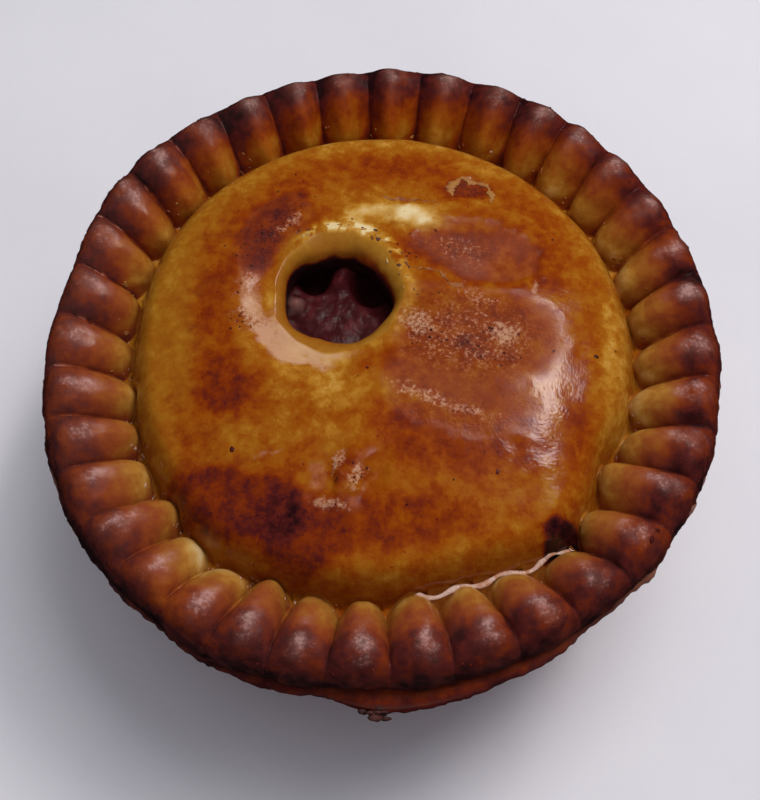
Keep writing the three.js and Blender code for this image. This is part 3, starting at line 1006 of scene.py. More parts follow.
@dataclass
class Crust:
    """The whole crust: case, lid, crimps, ledge and the rolled steam hole."""

    form: PieForm
    columns_a_crimp: int = 20
    rim_rows: int = 34
    gutter_rows: int = 9
    lid_rows: int = 82
    bore_rows: int = 18
    ledge_rows: int = 13
    wall_rows: int = 34
    relief_seed: int = 11
    lid_bake: float = 0.49
    rim_bake: float = 0.29
    ledge_bake: float = 0.88
    wall_bake: float = 0.52
    bore_bake: float = 0.30
    hidden_bake: float = 0.45
    lean_sway: Triples = ((0.14, 1.3, 0.4),)
    size_sway: Triples = ((0.10, 2.4, 1.0), (0.06, 5.3, 2.0))
    reach_sway: Triples = ((0.3, 3.1, 0.5),)
    tip_sway: Triples = ((0.5, 1.9, 2.2),)
    slant_sway: Triples = ((0.9, 2.7, 0.6),)

    BROWNING: tuple[Patch, ...] = patches(
        # burnt place beyond the steam hole, on the left
        (-16.6, 13.6, 5.0, 2.5, 66, 0.15, 0.5),
        (-13.3, 19.6, 3.2, 1.9, 48, 0.15, 0.5),
        (-15.0, 16.4, 9.0, 4.6, 58, 0.12),
        (-17.2, 12.0, 2.2, 1.6, 60, 0.10),
        (-20.6, 18.0, 2.4, 2.2, 0, 0.05, 0.7),
        # red-brown place on the far right, with a sharp near edge
        (9.4, 12.8, 5.4, 4.2, -20, 0.19, 0.2),
        (15.8, 13.2, 6.6, 4.9, -8, 0.08, 0.4),
        (20.6, 9.2, 4.2, 5.4, 0, 0.12, 0.7),
        (11.6, 8.8, 3.4, 1.6, -36, 0.14, 0.4),
        (14.8, 14.0, 0.7, 4.0, 4, 0.09, 0.7),
        (3.0, 12.4, 1.5, 3.4, 20, 0.18),
        # rough brown places right of the hole
        (12.5, -0.6, 10.0, 4.4, -6, 0.10, 0.4),
        (12.3, -3.0, 6.0, 1.3, -14, 0.10),
        (17.5, 1.6, 3.6, 1.4, -25, 0.10, 0.7),
        (10.0, -8.6, 8.4, 3.4, -16, 0.10, 0.4),
        (6.0, -15.8, 8.8, 3.2, -18, 0.18, 0.5),
        (18.4, -16.2, 3.4, 4.6, 0, 0.16, 0.5),
        (26.2, -13.0, 1.8, 8.0, -4, 0.12),
        (29.2, 4.0, 1.4, 9.0, 6, 0.07, 0.7),
        (1.6, -4.6, 3.8, 2.0, -10, 0.10),
        (-17.0, -3.6, 4.0, 2.4, -40, -0.10),
        # the far edge
        (2.0, 28.2, 8.0, 2.6, -4, 0.11),
        (-14.0, 26.0, 6.0, 1.6, 24, 0.03, 0.7),
        (21.0, 21.0, 5.0, 2.0, -44, 0.08, 0.7),
        # the left side
        (-22.6, 2.0, 2.6, 11.0, 8, 0.14, 0.7),
        (-19.0, -8.0, 4.6, 4.8, 12, 0.17),
        (-23.6, -13.6, 4.4, 3.6, 0, 0.10, 0.8),
        (-29.0, 0.0, 5.0, 17.0, 0, -0.04, 0.7),
        (-9.0, -7.4, 9.0, 4.0, -15, -0.20, 0.7),
        (-13.0, -14.8, 9.0, 2.4, -4, -0.14, 0.7),
        (-1.5, -13.0, 3.2, 2.6, 0, -0.07, 0.8),
        (-10.0, -11.6, 1.6, 3.0, 30, 0.07, 0.8),
        # the large dark place on the near left
        (-18.4, -24.2, 9.8, 4.4, -20, 0.28, 0.2),
        (-10.6, -27.8, 6.4, 5.0, -14, 0.24, 0.3),
        (3.6, -26.4, 10.0, 3.2, 4, 0.17),
        (-11.2, -27.4, 1.6, 2.2, 10, 0.16, 0.8),
        (-9.4, -30.6, 3.0, 1.6, -15, 0.10, 0.7),
        (-13.2, -20.8, 2.6, 1.4, -20, 0.10),
        (-3.6, -19.6, 1.5, 3.0, -30, 0.12),
        # the near and right edges
        (5.0, -31.6, 10.0, 2.4, 8, -0.06),
        (9.0, -23.5, 7.0, 1.6, -10, -0.06, 0.7),
        (19.0, -22.0, 3.6, 2.0, -30, -0.07, 0.7),
        (32.0, -3.0, 3.0, 17.0, 0, -0.10, 0.7),
        # pale pastry bared beyond the hole
        (1.5, 18.8, 9.5, 4.4, -6, -0.12),
        (5.8, 18.3, 3.6, 1.6, 3, -0.12, 0.4),
        (5.2, 15.4, 2.6, 1.3, 10, -0.12, 0.5),
        (0.8, 18.4, 5.4, 1.9, -5, -0.26, 0.5),
        (6.6, 16.6, 2.0, 0.8, 20, -0.20, 0.5),
        (12.4, 23.2, 3.6, 1.7, 4, 0.34),
        (12.0, 20.8, 4.2, 1.2, 8, -0.08, 0.5),
    )
    BURNT: tuple[Patch, ...] = patches(
        (24.2, -28.2, 3.2, 2.2, 12, 0.60, 0.2),
    )
    BLISTERED: tuple[Patch, ...] = patches(
        (14.0, 12.4, 9.0, 5.8, -14, 0.6, 0.15),
        (13.0, -1.0, 10.0, 6.0, -8, 1.0, 0.4),
        (9.0, -9.5, 9.0, 4.6, -18, 0.8, 0.5),
        (6.5, 2.0, 3.2, 4.6, 0, 0.9),
        (-15.4, 15.6, 7.0, 3.8, 58, 0.9, 0.5),
        (-18.4, 1.2, 2.2, 2.0, 0, 0.9),
        (-4.6, -21.4, 4.0, 4.0, -25, 0.5),
    )
    BARE: tuple[Patch, ...] = patches(
        (6.0, 18.2, 3.6, 1.6, 3, 1.0, 0.35),
        (0.8, 18.7, 4.8, 1.3, -5, 0.7, 0.5),
    )
    # Rough dull places; their pinkish tint is a painted reflection of the sky on the rough glaze.
    DULL_SHEEN: tuple[Patch, ...] = patches(
        (9.8, 13.0, 5.0, 3.6, -20, 0.24),
        (12.6, 9.2, 2.6, 1.8, -20, 0.40),
        (17.6, 13.4, 4.0, 3.0, 0, 0.20, 0.7),
        (14.0, -1.0, 9.0, 4.0, -8, 0.20),
        (9.0, -8.8, 7.8, 3.2, -14, 0.22),
        (12.4, 24.0, 2.6, 1.4, 20, 0.1, 0.5),
    )
    # Painted highlights on the lid: sheen, glints and bright streaks where the glaze reflects the light.
    PAINTED_HIGHLIGHTS: tuple[Patch, ...] = patches(
        # painted sheen on the dip beside the hole
        (-18.2, 6.4, 1.9, 2.8, 10, 0.46),
        (-16.6, 1.6, 1.7, 3.4, 18, 0.58, 0.5),
        (-13.6, -2.6, 3.2, 1.9, -42, 0.66, 0.5),
        (-9.6, -5.0, 3.4, 1.0, -8, 0.56, 0.5),
        (-12.8, 16.6, 2.0, 0.7, 50, 0.40),
        # painted glints over the rough places
        (12.0, -1.4, 9.0, 5.0, -8, 0.20, 0.5),
        (4.8, 1.2, 2.2, 2.4, 0, 0.34),
        (16.4, -0.6, 2.0, 1.2, -20, 0.34),
        (21.4, 5.6, 0.6, 1.6, -6, 0.56),
        (8.0, -11.0, 8.0, 0.9, -20, 0.40, 0.7),
        (11.0, 12.6, 4.4, 3.0, -20, 0.18),
        (12.4, 5.4, 3.6, 1.0, -30, 0.24),
        # painted glints round the wrinkle at the near side
        (-5.2, -19.0, 0.8, 1.5, -30, 0.50),
        (-2.8, -21.2, 0.9, 1.9, -24, 0.52),
        (-6.4, -24.6, 2.4, 0.7, -20, 0.48),
        (-15.0, -18.2, 2.6, 0.5, 0, 0.36, 0.7),
    )
    RELIEF: tuple[Patch, ...] = patches(
        (5.6, 18.2, 4.4, 1.9, 4, -0.34, 0.25),
        (14.0, 12.4, 9.0, 5.8, -14, 0.22, 0.08),
        (13.2, 23.4, 2.6, 1.9, 10, 0.40, 0.5),
        (-3.8, -20.6, 1.7, 3.4, -25, -0.60, 0.7),
        (-0.9, -21.6, 1.4, 2.8, -20, 0.50, 0.8),
        (-6.6, -20.4, 1.4, 3.0, -28, 0.35, 0.8),
        (-10.0, -27.5, 8.0, 4.4, -20, -0.45, 0.9),
        (8.0, -12.0, 9.0, 1.2, -18, -0.20, 0.8),
        (12.0, 4.0, 5.0, 1.1, -10, -0.18, 0.8),
        (15.0, 13.0, 0.5, 4.0, 4, -0.16, 0.7),
    )
    CREST: Curve = (
        (-0.9, -6.9), (-0.7, -4.7), (0.3, -3.1), (2.2, -1.7), (4.3, -0.6),
        (6.2, 0.0), (7.9, -0.6), (9.3, -2.5), (10.0, -4.8), (9.9, -7.2),
    )
    CREASE: Curve = (
        (1.3, -7.6), (1.7, -6.8), (2.4, -5.9), (3.6, -4.7), (5.2, -3.2),
        (6.9, -2.4), (8.4, -2.3), (9.3, -3.1), (9.9, -5.0), (9.8, -7.3),
    )
    BORE: Curve = (
        (0.0, 0.0), (0.15, -0.1), (0.48, -0.6), (0.78, -1.4), (0.94, -2.4), (1.0, -3.6), (1.0, -5.4),
    )

    def build(self, finish: Material) -> Piece:
        """Build the crust.

        Args:
            finish: Its material.

        Returns:
            The finished piece.
        """
        skin = self._skin()
        vertices, faces = skin.rings.sewn()
        zones, outward, flank = skin.tags()
        normals = vertex_normals(vertices, faces)
        moved = vertices + normals * self._relief(vertices, zones, outward)[:, None]
        masks = self._masks(vertices, zones, outward, flank)
        self.surface = Surface(moved, faces)
        return make_piece("pie_crust", moved, faces, masks, finish)

    def _skin(self) -> Skin:
        """Lay out every ring, from the base up the outside and back down inside.

        Returns:
            The rings with their tags.
        """
        n = self.columns_a_crimp
        even = np.arange(n) / n
        across = np.tile(0.55 * (0.5 - 0.5 * np.cos(np.pi * even)) + 0.45 * even, self.form.crimps)
        crimp = np.repeat(np.arange(self.form.crimps), n)
        azimuth = self._column_azimuth(crimp, across, 0.5)
        rim, flank = self._rim_rings(crimp, across)
        skin = Skin()
        for zone, ring in reversed(self._outside_rings(azimuth)):
            skin.lay(zone, ring, 1.0)
        for row in range(self.rim_rows - 1, -1, -1):
            skin.lay(Zone.RIM, rim[row], row / (self.rim_rows - 1), flank)
        lid = self._lid_rings(rim[0])
        for ring in lid:
            skin.lay(Zone.LID, ring)
        for ring in self._hole_rings(azimuth[::2], lid[-1]):
            skin.lay(Zone.BORE, ring)
        for ring in self._inside_rings(azimuth[::8]):
            skin.lay(Zone.INSIDE, ring)
        return skin

    def _column_azimuth(self, crimp: Field, across: Field, outward: float) -> Field:
        """Azimuth of the columns at one place across the rim; the creases slant a little.

        Args:
            crimp: Crimp of each column.
            across: Place of each column across its crimp, 0 to 1.
            outward: 0 at the gutter, 1 outside.

        Returns:
            Azimuths in radians.
        """
        k = crimp + across
        whole = self.form.crease_azimuth(np.floor(k))
        azimuth = whole + (self.form.crease_azimuth(np.floor(k) + 1) - whole) * (k - np.floor(k))
        slant = -2.4 * np.cos(azimuth) + sway(self.slant_sway, k)
        return azimuth + np.radians(slant) * (0.5 - outward)

    def _rim_rings(self, crimp: Field, across: Field) -> tuple[list[Points], Field]:
        """Rings over the crimps, from the gutter to their outer ends.

        Args:
            crimp: Crimp of each column.
            across: Place of each column across its crimp, 0 to 1.

        Returns:
            The rings, inner first, and each column's place across its crimp, -1 to 1.
        """
        f = self.form
        crest = curve_through(self.CREST, self.rim_rows)
        crease = curve_through(self.CREASE, self.rim_rows)
        u = 2 * across - 1
        middle = f.crease_azimuth(crimp + 0.5)
        lean = sway(self.lean_sway, crimp) - 0.08 * np.cos(middle)
        u = np.clip(u + lean * (1 - u**2), -1, 1)
        tight = 0.84 - 0.50 * hump(np.degrees(middle), 95.0, 55.0)
        full, soft = (1 - np.abs(u) ** 2.8) ** 0.62, 0.5 + 0.5 * np.cos(np.pi * u)
        size = 1 + sway(self.size_sway, crimp)
        reach = soft * sway(self.reach_sway, crimp)
        tip = soft * sway(self.tip_sway, crimp)
        rows = []
        for row in range(self.rim_rows):
            outward = row / (self.rim_rows - 1)
            azimuth = self._column_azimuth(crimp, across, outward)
            share = tight * (1 - smoothstep(outward, 0.55, 0.78))
            blend = np.minimum((share * full + (1 - share) * soft) * size, 1.08)
            reach_in, height = (crease[row] + (crest[row] - crease[row]) * blend[:, None]).T
            r = f.gutter_radius + reach_in + (f.rim_bulge(azimuth) + reach) * outward
            r += bulge(f.gutter_bulges, azimuth) * max(0.0, 1 - outward / 0.6)
            r += tip * max(0.0, 1 - outward / 0.3)
            z = f.crest_z + height + bulge(f.rim_lift, azimuth) * smoothstep(outward, 0.0, 0.5)
            rows.append(polar(r, azimuth, z))
        return rows, u

    def _lid_surface(self, plan: Points) -> Field:
        """Height of the lid, with the rolled lip and the dish beside it.

        Args:
            plan: x and y in mm.

        Returns:
            Heights in mm.
        """
        f = self.form
        r = np.hypot(plan[:, 0], plan[:, 1])
        past, angle = f.past_lip(plan)
        facing = np.clip(0.5 + 0.6 * np.cos(angle - math.radians(205)), 0, 1)
        dish = -1.5 * facing * (1 - smoothstep(past, 0.2, 6.5))
        roll = (0.22 + ripple(f.lip_waves, angle)) * np.exp(-((past / 0.9) ** 2))
        azimuth = np.arctan2(plan[:, 1], plan[:, 0])
        r = r - bulge(f.gutter_bulges, azimuth) * smoothstep(r, 24.0, 36.0)
        return f.lid_height(r) + f.lid_undulation(azimuth, r) + dish + roll

    def _lid_rings(self, gutter: Points) -> list[Points]:
        """Rings over the lid, from the gutter in to the steam hole's lip.

        Args:
            gutter: The rim's innermost ring.

        Returns:
            The rings; those past the gutter have half as many points.
        """
        f = self.form
        angle = np.arctan2(gutter[:, 1], gutter[:, 0])
        ragged = 0.2 * np.cos(3 * angle + 1.0) + 0.16 * np.cos(7 * angle) + 0.1 * np.cos(12 * angle + 2.0)
        lip_ring = f.hole + f.lip_shift + polar(f.lip_reach(angle) + ragged, angle, 0.0)[:, :2]
        gutter_share = 0.08
        shares = np.r_[np.linspace(0, gutter_share, self.gutter_rows + 1)[1:],
                       np.linspace(gutter_share, 1.0, self.lid_rows + 1)[1:]]
        rings = []
        for i, share in enumerate(shares):
            plan = gutter[:, :2] * (1 - share) + lip_ring * share
            if i >= self.gutter_rows:
                plan = plan[::2]
            rings.append(np.column_stack([plan, self._lid_surface(plan)]))
        return rings

    def _hole_rings(self, azimuth: Field, lip: Points) -> list[Points]:
        """Rings from the lip down the bore to the lid's underside.

        Args:
            azimuth: Azimuth of each half-count column.
            lip: The lid's last ring.

        Returns:
            The rings, top first.
        """
        f = self.form
        mean = lip[:, 2].mean()
        _, angle = f.past_lip(lip[:, :2])
        radius = f.hole_radius + ripple(f.bore_waves, azimuth) - 0.9 * np.clip(-np.sin(angle), 0, 1) ** 2
        bore = f.hole + polar(radius, angle, 0.0)[:, :2]
        rings = []
        for share, drop in curve_through(self.BORE, self.bore_rows)[1:]:
            plan = lip[:, :2] * (1 - share) + bore * share
            settle = min(1.0, -drop / 4.0)
            rings.append(np.column_stack([plan, lip[:, 2] * (1 - settle) + mean * settle + drop]))
        return rings

    def _outside_rings(self, azimuth: Field) -> list[tuple[Zone, Points]]:
        """Rings from under the crimps down the wall to the base.

        Args:
            azimuth: Azimuth of each full-count column.

        Returns:
            Each ring with its zone, top first.
        """
        f = self.form
        top, base = f.wall_top_radius, f.base_radius
        shelf = curve_through(
            ((f.crimp_reach - 0.6, -7.7), (f.ledge_reach - 0.5, -7.9), (f.ledge_reach, -8.7),
             (f.ledge_reach - 0.8, -9.9), (top + 0.5, -10.7)), self.ledge_rows)
        rows: list[tuple[Zone, Points]] = []
        for i, (r, drop) in enumerate(shelf):
            follow = math.sin(math.pi * min(1.0, (i + 1) / 8.0) / 2) if i < 10 else (12 - i) / 3.0
            reach = r + f.rim_bulge(azimuth) + f.ledge_tear(azimuth) * follow
            rows.append((Zone.LEDGE, polar(reach, azimuth, f.crest_z + drop)))
        half = azimuth[::2]
        wall = curve_through(
            ((top, f.crest_z - 11.4), (top - 0.3, 31), (top - 1.0, 24), (top - 2.8, 14.5),
             (base + 3.4, 6.5), (base + 1.6, 1.8), (base + 0.6, 0.45), (base - 0.6, 0.0)), self.wall_rows)
        for r, z in wall:
            belly = smoothstep(z, 2.0, 16.0) * ripple(f.belly_waves, half)
            reach = r + belly + f.rim_bulge(half) * smoothstep(r, 22.0, 44.0)
            rows.append((Zone.WALL, polar(reach, half, z)))
        rows += [(Zone.BASE, polar(r, azimuth[::every], 0.0))
                 for r, every in ((32.0, 2), (26.0, 4), (18.0, 4), (9.0, 8))]
        return rows

    def _inside_rings(self, azimuth: Field) -> list[Points]:
        """Rings of the hidden hollow, from the hole's lower edge to the floor.

        Args:
            azimuth: Azimuth of each column.

        Returns:
            The rings, top first.
        """
        f = self.form
        r_in = f.wall_top_radius - f.wall_thickness
        profile = ((r_in - 5.0, f.under_lid), (r_in - 1.2, f.under_lid - 3.5), (r_in - 0.6, 27.0),
                   (r_in - 2.6, 16.0), (f.base_radius - 2.4, f.base_thickness + 2.5),
                   (f.base_radius - 5.5, f.base_thickness), (14.0, f.base_thickness))
        rings = []
        for r in (12.0, 18.0, 26.0):
            plan = f.hole * max(0.0, 1 - (r - 9.0) / 17.0) + polar(r, azimuth, 0.0)[:, :2]
            height = f.lid_height(np.linalg.norm(plan, axis=1)) - f.lid_thickness - 0.2
            rings.append(np.column_stack([plan, height]))
        return rings + [polar(r, azimuth, z) for r, z in profile]

    # ---- relief and masks

    def _relief(self, points: Points, zones: Field, outward: Field) -> Field:
        """How far each vertex moves along its normal.

        Args:
            points: Vertices in mm.
            zones: Zone of each vertex.
            outward: Place of each vertex across the rim.

        Returns:
            Moves in mm.
        """
        noise = Noise(self.relief_seed)
        plan = self._warped(points)
        blister = np.clip(sum_of(self.BLISTERED, plan), 0, 1)
        broad = noise.layered(points, 9.0, 3)
        fine = noise.layered(points + 40.0, 1.7, 2)
        dents = noise.layered(points + 80.0, 4.0, 2)
        by_glint = np.exp(-(((plan[:, 0] - 23.0) / 6.0) ** 2 + ((plan[:, 1] + 6.0) / 15.0) ** 2))
        lid = 0.20 * broad * (1 - 0.7 * by_glint) + (0.008 + 0.10 * blister) * fine
        lid += sum_of(self.RELIEF, plan)
        ragged = smoothstep(outward, 0.62, 0.85)
        crumbly = smoothstep(outward, 0.78, 0.92)
        rim = (0.14 + 0.20 * outward) * dents + (0.07 + 0.06 * outward + 0.12 * ragged) * fine
        rim += ragged * 0.16 * noise.at(points + 20.0, 0.8) + crumbly * 0.22 * noise.at(points + 33.0, 0.5)
        ledge = 0.30 * noise.layered(points, 3.0, 3) + 0.22 * noise.at(points, 0.9)
        wall = 0.35 * broad + 0.15 * noise.layered(points, 3.5, 3)
        return np.select(
            [zones == zone.value for zone in (Zone.LID, Zone.RIM, Zone.LEDGE, Zone.WALL, Zone.BORE)],
            [lid * smoothstep(self.form.from_hole(points), 8.0, 10.0), rim, ledge,
             wall * smoothstep(points[:, 2], 0.5, 4.0), 0.18 * noise.layered(points, 2.4, 3)],
            0.0)

    def _warped(self, points: Points) -> Points:
        """Push the vertices' places seen from above about a little, so that patches get natural edges.

        Args:
            points: Vertices in mm.

        Returns:
            x and y in mm.
        """
        noise = Noise(self.relief_seed + 1)
        flat = points * (1.0, 1.0, 0.0)
        dx = 1.4 * noise.layered(flat, 7.0, 3) + 0.9 * noise.layered(flat + 9.0, 1.9, 3)
        dy = 1.4 * noise.layered(flat + 60.0, 7.0, 3) + 0.9 * noise.layered(flat + 90.0, 1.9, 3)
        return points[:, :2] + np.column_stack([dx, dy])

    def _masks(self, points: Points, zones: Field, outward: Field, flank: Field) -> dict[str, Field]:
        """Masks that the crust's finish reads.

        Args:
            points: Vertices in mm, before the relief.
            zones: Zone of each vertex.
            outward: Place across the rim, 0 at the gutter and 1 outside.
            flank: Place across a crimp, 0 on its ridge and -1 or 1 in a crease.

        Returns:
            The masks by name.
        """
        noise = Noise(self.relief_seed + 2)
        at = Sites(self.form, points, self._warped(points), zones, outward, flank, noise)
        lid, rim, ledge, bore = (at.within(zone) for zone in (Zone.LID, Zone.RIM, Zone.LEDGE, Zone.BORE))
        seam_highlight = self._seam_highlight(at)
        bake = np.select(
            [lid > 0, rim > 0, ledge > 0, at.within(Zone.WALL) > 0, bore > 0],
            [self._lid_bake(at), self._rim_bake(at, seam_highlight), self._ledge_bake(at),
             self.wall_bake + 0.14 * noise.layered(points, 12.0, 4), self._bore_bake(at)],
            self.hidden_bake)
        far = at.about(90, 70)
        # Pinkish tint on the rough lid patches: a painted reflection of the sky.
        dust = sum_of(self.DULL_SHEEN, at.plan)
        crown = rim * self._crown(at, far)
        patchy = 0.7 + 1.1 * noise.layered(points + 50.0, 1.7, 3)
        blister = np.clip(lid * sum_of(self.BLISTERED, at.plan) + rim * (0.10 + 0.38 * at.knob), 0, 1)
        bare = np.clip(lid * sum_of(self.BARE, at.plan), 0, 1)
        outside = rim * smoothstep(outward, 0.70, 0.85)
        gloss = 1.0 - 0.12 * blister * lid - 0.3 * lid * dust - bare - 0.10 * rim * at.knob - 0.5 * outside
        dry = np.isin(zones, [zone.value for zone in (Zone.WALL, Zone.LEDGE, Zone.BASE, Zone.BORE)])
        grey = ledge * (0.6 * at.about(180, 30) + 0.6 * at.about(335, 24))
        # The crimps' own greyish tone, with painted lilac sheen on the knobs' crowns and painted mauve sheen
        # on the left knobs; the ledge's grey above is its own.
        grey += rim * (0.09 - 0.07 * at.knob) * (1 - far) + (0.08 + 0.26 * far) * crown * patchy
        grey += 0.07 * rim * at.knob * at.about(180, 60) * (1 - smoothstep(outward, 0.55, 0.85))
        # Painted highlights: the lip's sheen, a bright line along the ledge's top edge, the knobs' crowns
        # and the creases' seams.
        lip_sheen = np.exp(-((at.past_lip / 0.9) ** 2) - ((at.hole_angle % 360.0 - 240.0) / 45.0) ** 2)
        ledge_top_highlight = ledge * np.exp(-(((points[:, 2] - self.form.crest_z + 8.1) / 0.35) ** 2))
        painted_highlight = lid * (sum_of(self.PAINTED_HIGHLIGHTS, at.plan) + 0.9 * lip_sheen) + (0.66 - 0.20 * far) * crown * patchy
        painted_highlight += 0.7 * seam_highlight * rim + 0.3 * ledge_top_highlight * at.about(272, 30)
        left_edge = at.about(180, 50) * smoothstep(at.r, 15.0, 30.0)
        pale = 1 - smoothstep(bake, 0.45, 0.62)
        masks = {
            "bake": bake,
            "blister": blister,
            "gloss": np.where(dry, 0.3 + 0.45 * ledge * at.about(285, 42), np.clip(gloss, 0, 1)),
            # Painted sky reflection on the rough lid patches and painted sheen on the knobs' crowns.
            "dust": lid * dust + 0.10 * crown,
            "painted_highlight": painted_highlight,
        }
        masks = {name: np.clip(values, 0, 1) for name, values in masks.items()}
        return masks | {
            "olive": pale * (0.3 * bore + 0.25 * lid * left_edge),
            "grey": grey,
            "speck": 0.9 * lid + 0.58 * rim,
            "pink": rim,
        }

    def _lid_bake(self, at: Sites) -> Field:
        """How far the lid has baked: in patches, pale by the gutter and round the lip.

        Args:
            at: The vertices' places.

        Returns:
            Baking, 0 to 1.
        """
        by_gutter = 1 - at.about(235, 50) - 0.8 * at.about(285, 35) + 0.9 * at.about(95, 50)
        broken_glaze = smoothstep(at.noise.layered(at.points + 15.0, 1.5, 3), -0.02, 0.10)
        far_lip = np.exp(-(((at.lip_angle - 74.0) / 52.0) ** 4))
        bake = self.lid_bake + sum_of(self.BROWNING, at.plan)
        bake += 0.09 * at.noise.layered(at.points, 5.0, 4)
        bake += 0.07 * at.noise.layered(at.points + 30.0, 1.5, 3)
        bake -= 0.10 * smoothstep(at.r, 27.0, 34.0) * by_gutter
        bake -= 0.20 * (1 - smoothstep(at.past_lip, 0.4, 2.2))
        bake -= 0.36 * broken_glaze * far_lip * np.exp(-(((at.past_lip - 0.7) / 1.1) ** 2))
        return held_back(bake, 0.72, 0.45) + sum_of(self.BURNT, at.plan)

    def _rim_bake(self, at: Sites, seam_highlight: Field) -> Field:
        """How far the crimps have baked, pale inside and dark on the knobs and outside, with painted shade
        and a painted seam highlight.

        Args:
            at: The vertices' places.
            seam_highlight: Where a highlight is painted along the creases.

        Returns:
            Baking with painted shade and highlight, 0 to 1.
        """
        outward, flank, about = at.outward, at.flank, at.about
        near, far, left = about(270, 50), about(90, 60), about(180, 60)
        shaded = np.clip(flank * at.to_shade, 0, 1)
        bake = self.rim_bake + 0.26 * smoothstep(outward, 0.12, 0.36) - 0.05 * about(350, 50)
        bake += (0.05 * about(90, 65) - 0.08 * about(0, 40) - 0.05 * about(270, 40)) * (1 - at.knob)
        # Darker knobs; the near side's extra darkening is painted shade.
        bake += (0.22 + 0.12 * about(270, 60) + 0.15 * far - 0.06 * left) * at.knob
        bake += (0.10 + 0.10 * left) * smoothstep(outward, 0.64, 0.84)
        # Painted shade on the flanks turned from the light and in the creases.
        painted_shade = (0.18 + 0.14 * far) * shaded + 0.10 * np.abs(flank) ** 3
        bake += smoothstep(outward + 0.2 * far, 0.12, 0.35) * painted_shade
        near_valley = np.abs(flank) ** 1.5 * near
        bake -= 0.16 * near_valley * smoothstep(outward, 0.3, 0.5) * (1 - smoothstep(outward, 0.7, 0.85))
        # Paler where the seam highlight is painted.
        bake -= 0.40 * seam_highlight
        # Painted shade in the pockets between the tips at the gutter.
        pocket = 1 - smoothstep(outward, 0.02, 0.10 + 0.25 * flank**4)
        bake += (0.12 + 0.32 * flank**2) * pocket * (1 - 0.5 * near)
        bake += 0.10 * at.noise.layered(at.points, 5.0, 3)
        bake += 0.06 * at.noise.layered(at.points + 30.0, 1.3, 3)
        bake += 0.05 * np.sin(2.3 * np.round(at.azimuth / 10.0))
        bake -= 0.26 * about(232, 5.5) * (1 - smoothstep(outward, 0.55, 0.8))
        bake += 0.16 * about(214, 9) * smoothstep(outward, 0.5, 0.75)
        burnt_tip = about(12, 2.0) * np.exp(-(((at.r - 45.0) / 1.6) ** 2))
        return held_back(bake, 0.74, 0.6) + 0.30 * burnt_tip

    @staticmethod
    def _seam_highlight(at: Sites) -> Field:
        """Where a highlight is painted along the creases on the left.

        Args:
            at: The vertices' places.

        Returns:
            1 on the painted seam highlight, 0 elsewhere.
        """
        seam = smoothstep(np.abs(at.flank), 0.93, 0.985) * smoothstep(at.outward, 0.30, 0.42)
        seam = seam * (1 - smoothstep(at.outward, 0.6, 0.8)) * at.about(165, 38)
        return seam * smoothstep(at.noise.layered(at.points + 7.0, 1.6, 2), 0.0, 0.15)

    def _ledge_bake(self, at: Sites) -> Field:
        """How far the ragged ledge has baked: dark, but paler on the left and on top at the near side.

        Args:
            at: The vertices' places.

        Returns:
            Baking, 0 to 1.
        """
        bake = self.ledge_bake - 0.48 * at.about(180, 28) - 0.30 * at.about(335, 24)
        bake += 0.16 * at.noise.layered(at.points, 2.0, 3)
        top = smoothstep(at.points[:, 2] - self.form.crest_z, -8.3, -7.9)
        return bake - 0.13 * top * at.about(285, 42)

    def _bore_bake(self, at: Sites) -> Field:
        """How far the steam hole's wall has baked, with painted shade that deepens down the bore, and darker
        on the right.

        Args:
            at: The vertices' places.

        Returns:
            Baking, 0 to 1.
        """
        top = self.form.crest_z + self.form.dome_rise - 0.6
        depth = top - at.points[:, 2] + 0.7 * at.noise.layered(at.points, 2.6, 2)
        # Painted shade deepening down the bore.
        bake = self.bore_bake + 0.20 * smoothstep(depth, 0.0, 2.4) + 0.55 * smoothstep(depth, 2.4, 3.3)
        return bake + 0.40 * hump(at.hole_angle, 15.0, 38.0) * smoothstep(depth, 0.5, 2.0)

    @staticmethod
    def _crown(at: Sites, far: Field) -> Field:
        """Where each crimp's knob catches the light.

        Args:
            at: The vertices' places.
            far: 1 on the far side of the rim, 0 on the near side.

        Returns:
            1 on the knobs' tops, 0 off them.
        """
        middle = 0.50 + 0.15 * far - 0.10 * at.about(180, 50)
        along = (at.outward - middle) / (0.15 + 0.03 * far)
        across = (at.flank + 0.2 * at.to_shade) / 0.42
        return np.exp(-(along**2 + across**2))


@dataclass(frozen=True)
class Lump:
    """One piece of meat seen down the steam hole."""

    x: float
    y: float
    rise: float
    width: float
    fat: float = 0.0

    def reach(self, local: Points) -> Field:
        """Distance of points to its middle as a share of its width, in the hole's x and y."""
        return np.hypot(local[:, 0] - self.x, local[:, 1] - self.y) / self.width


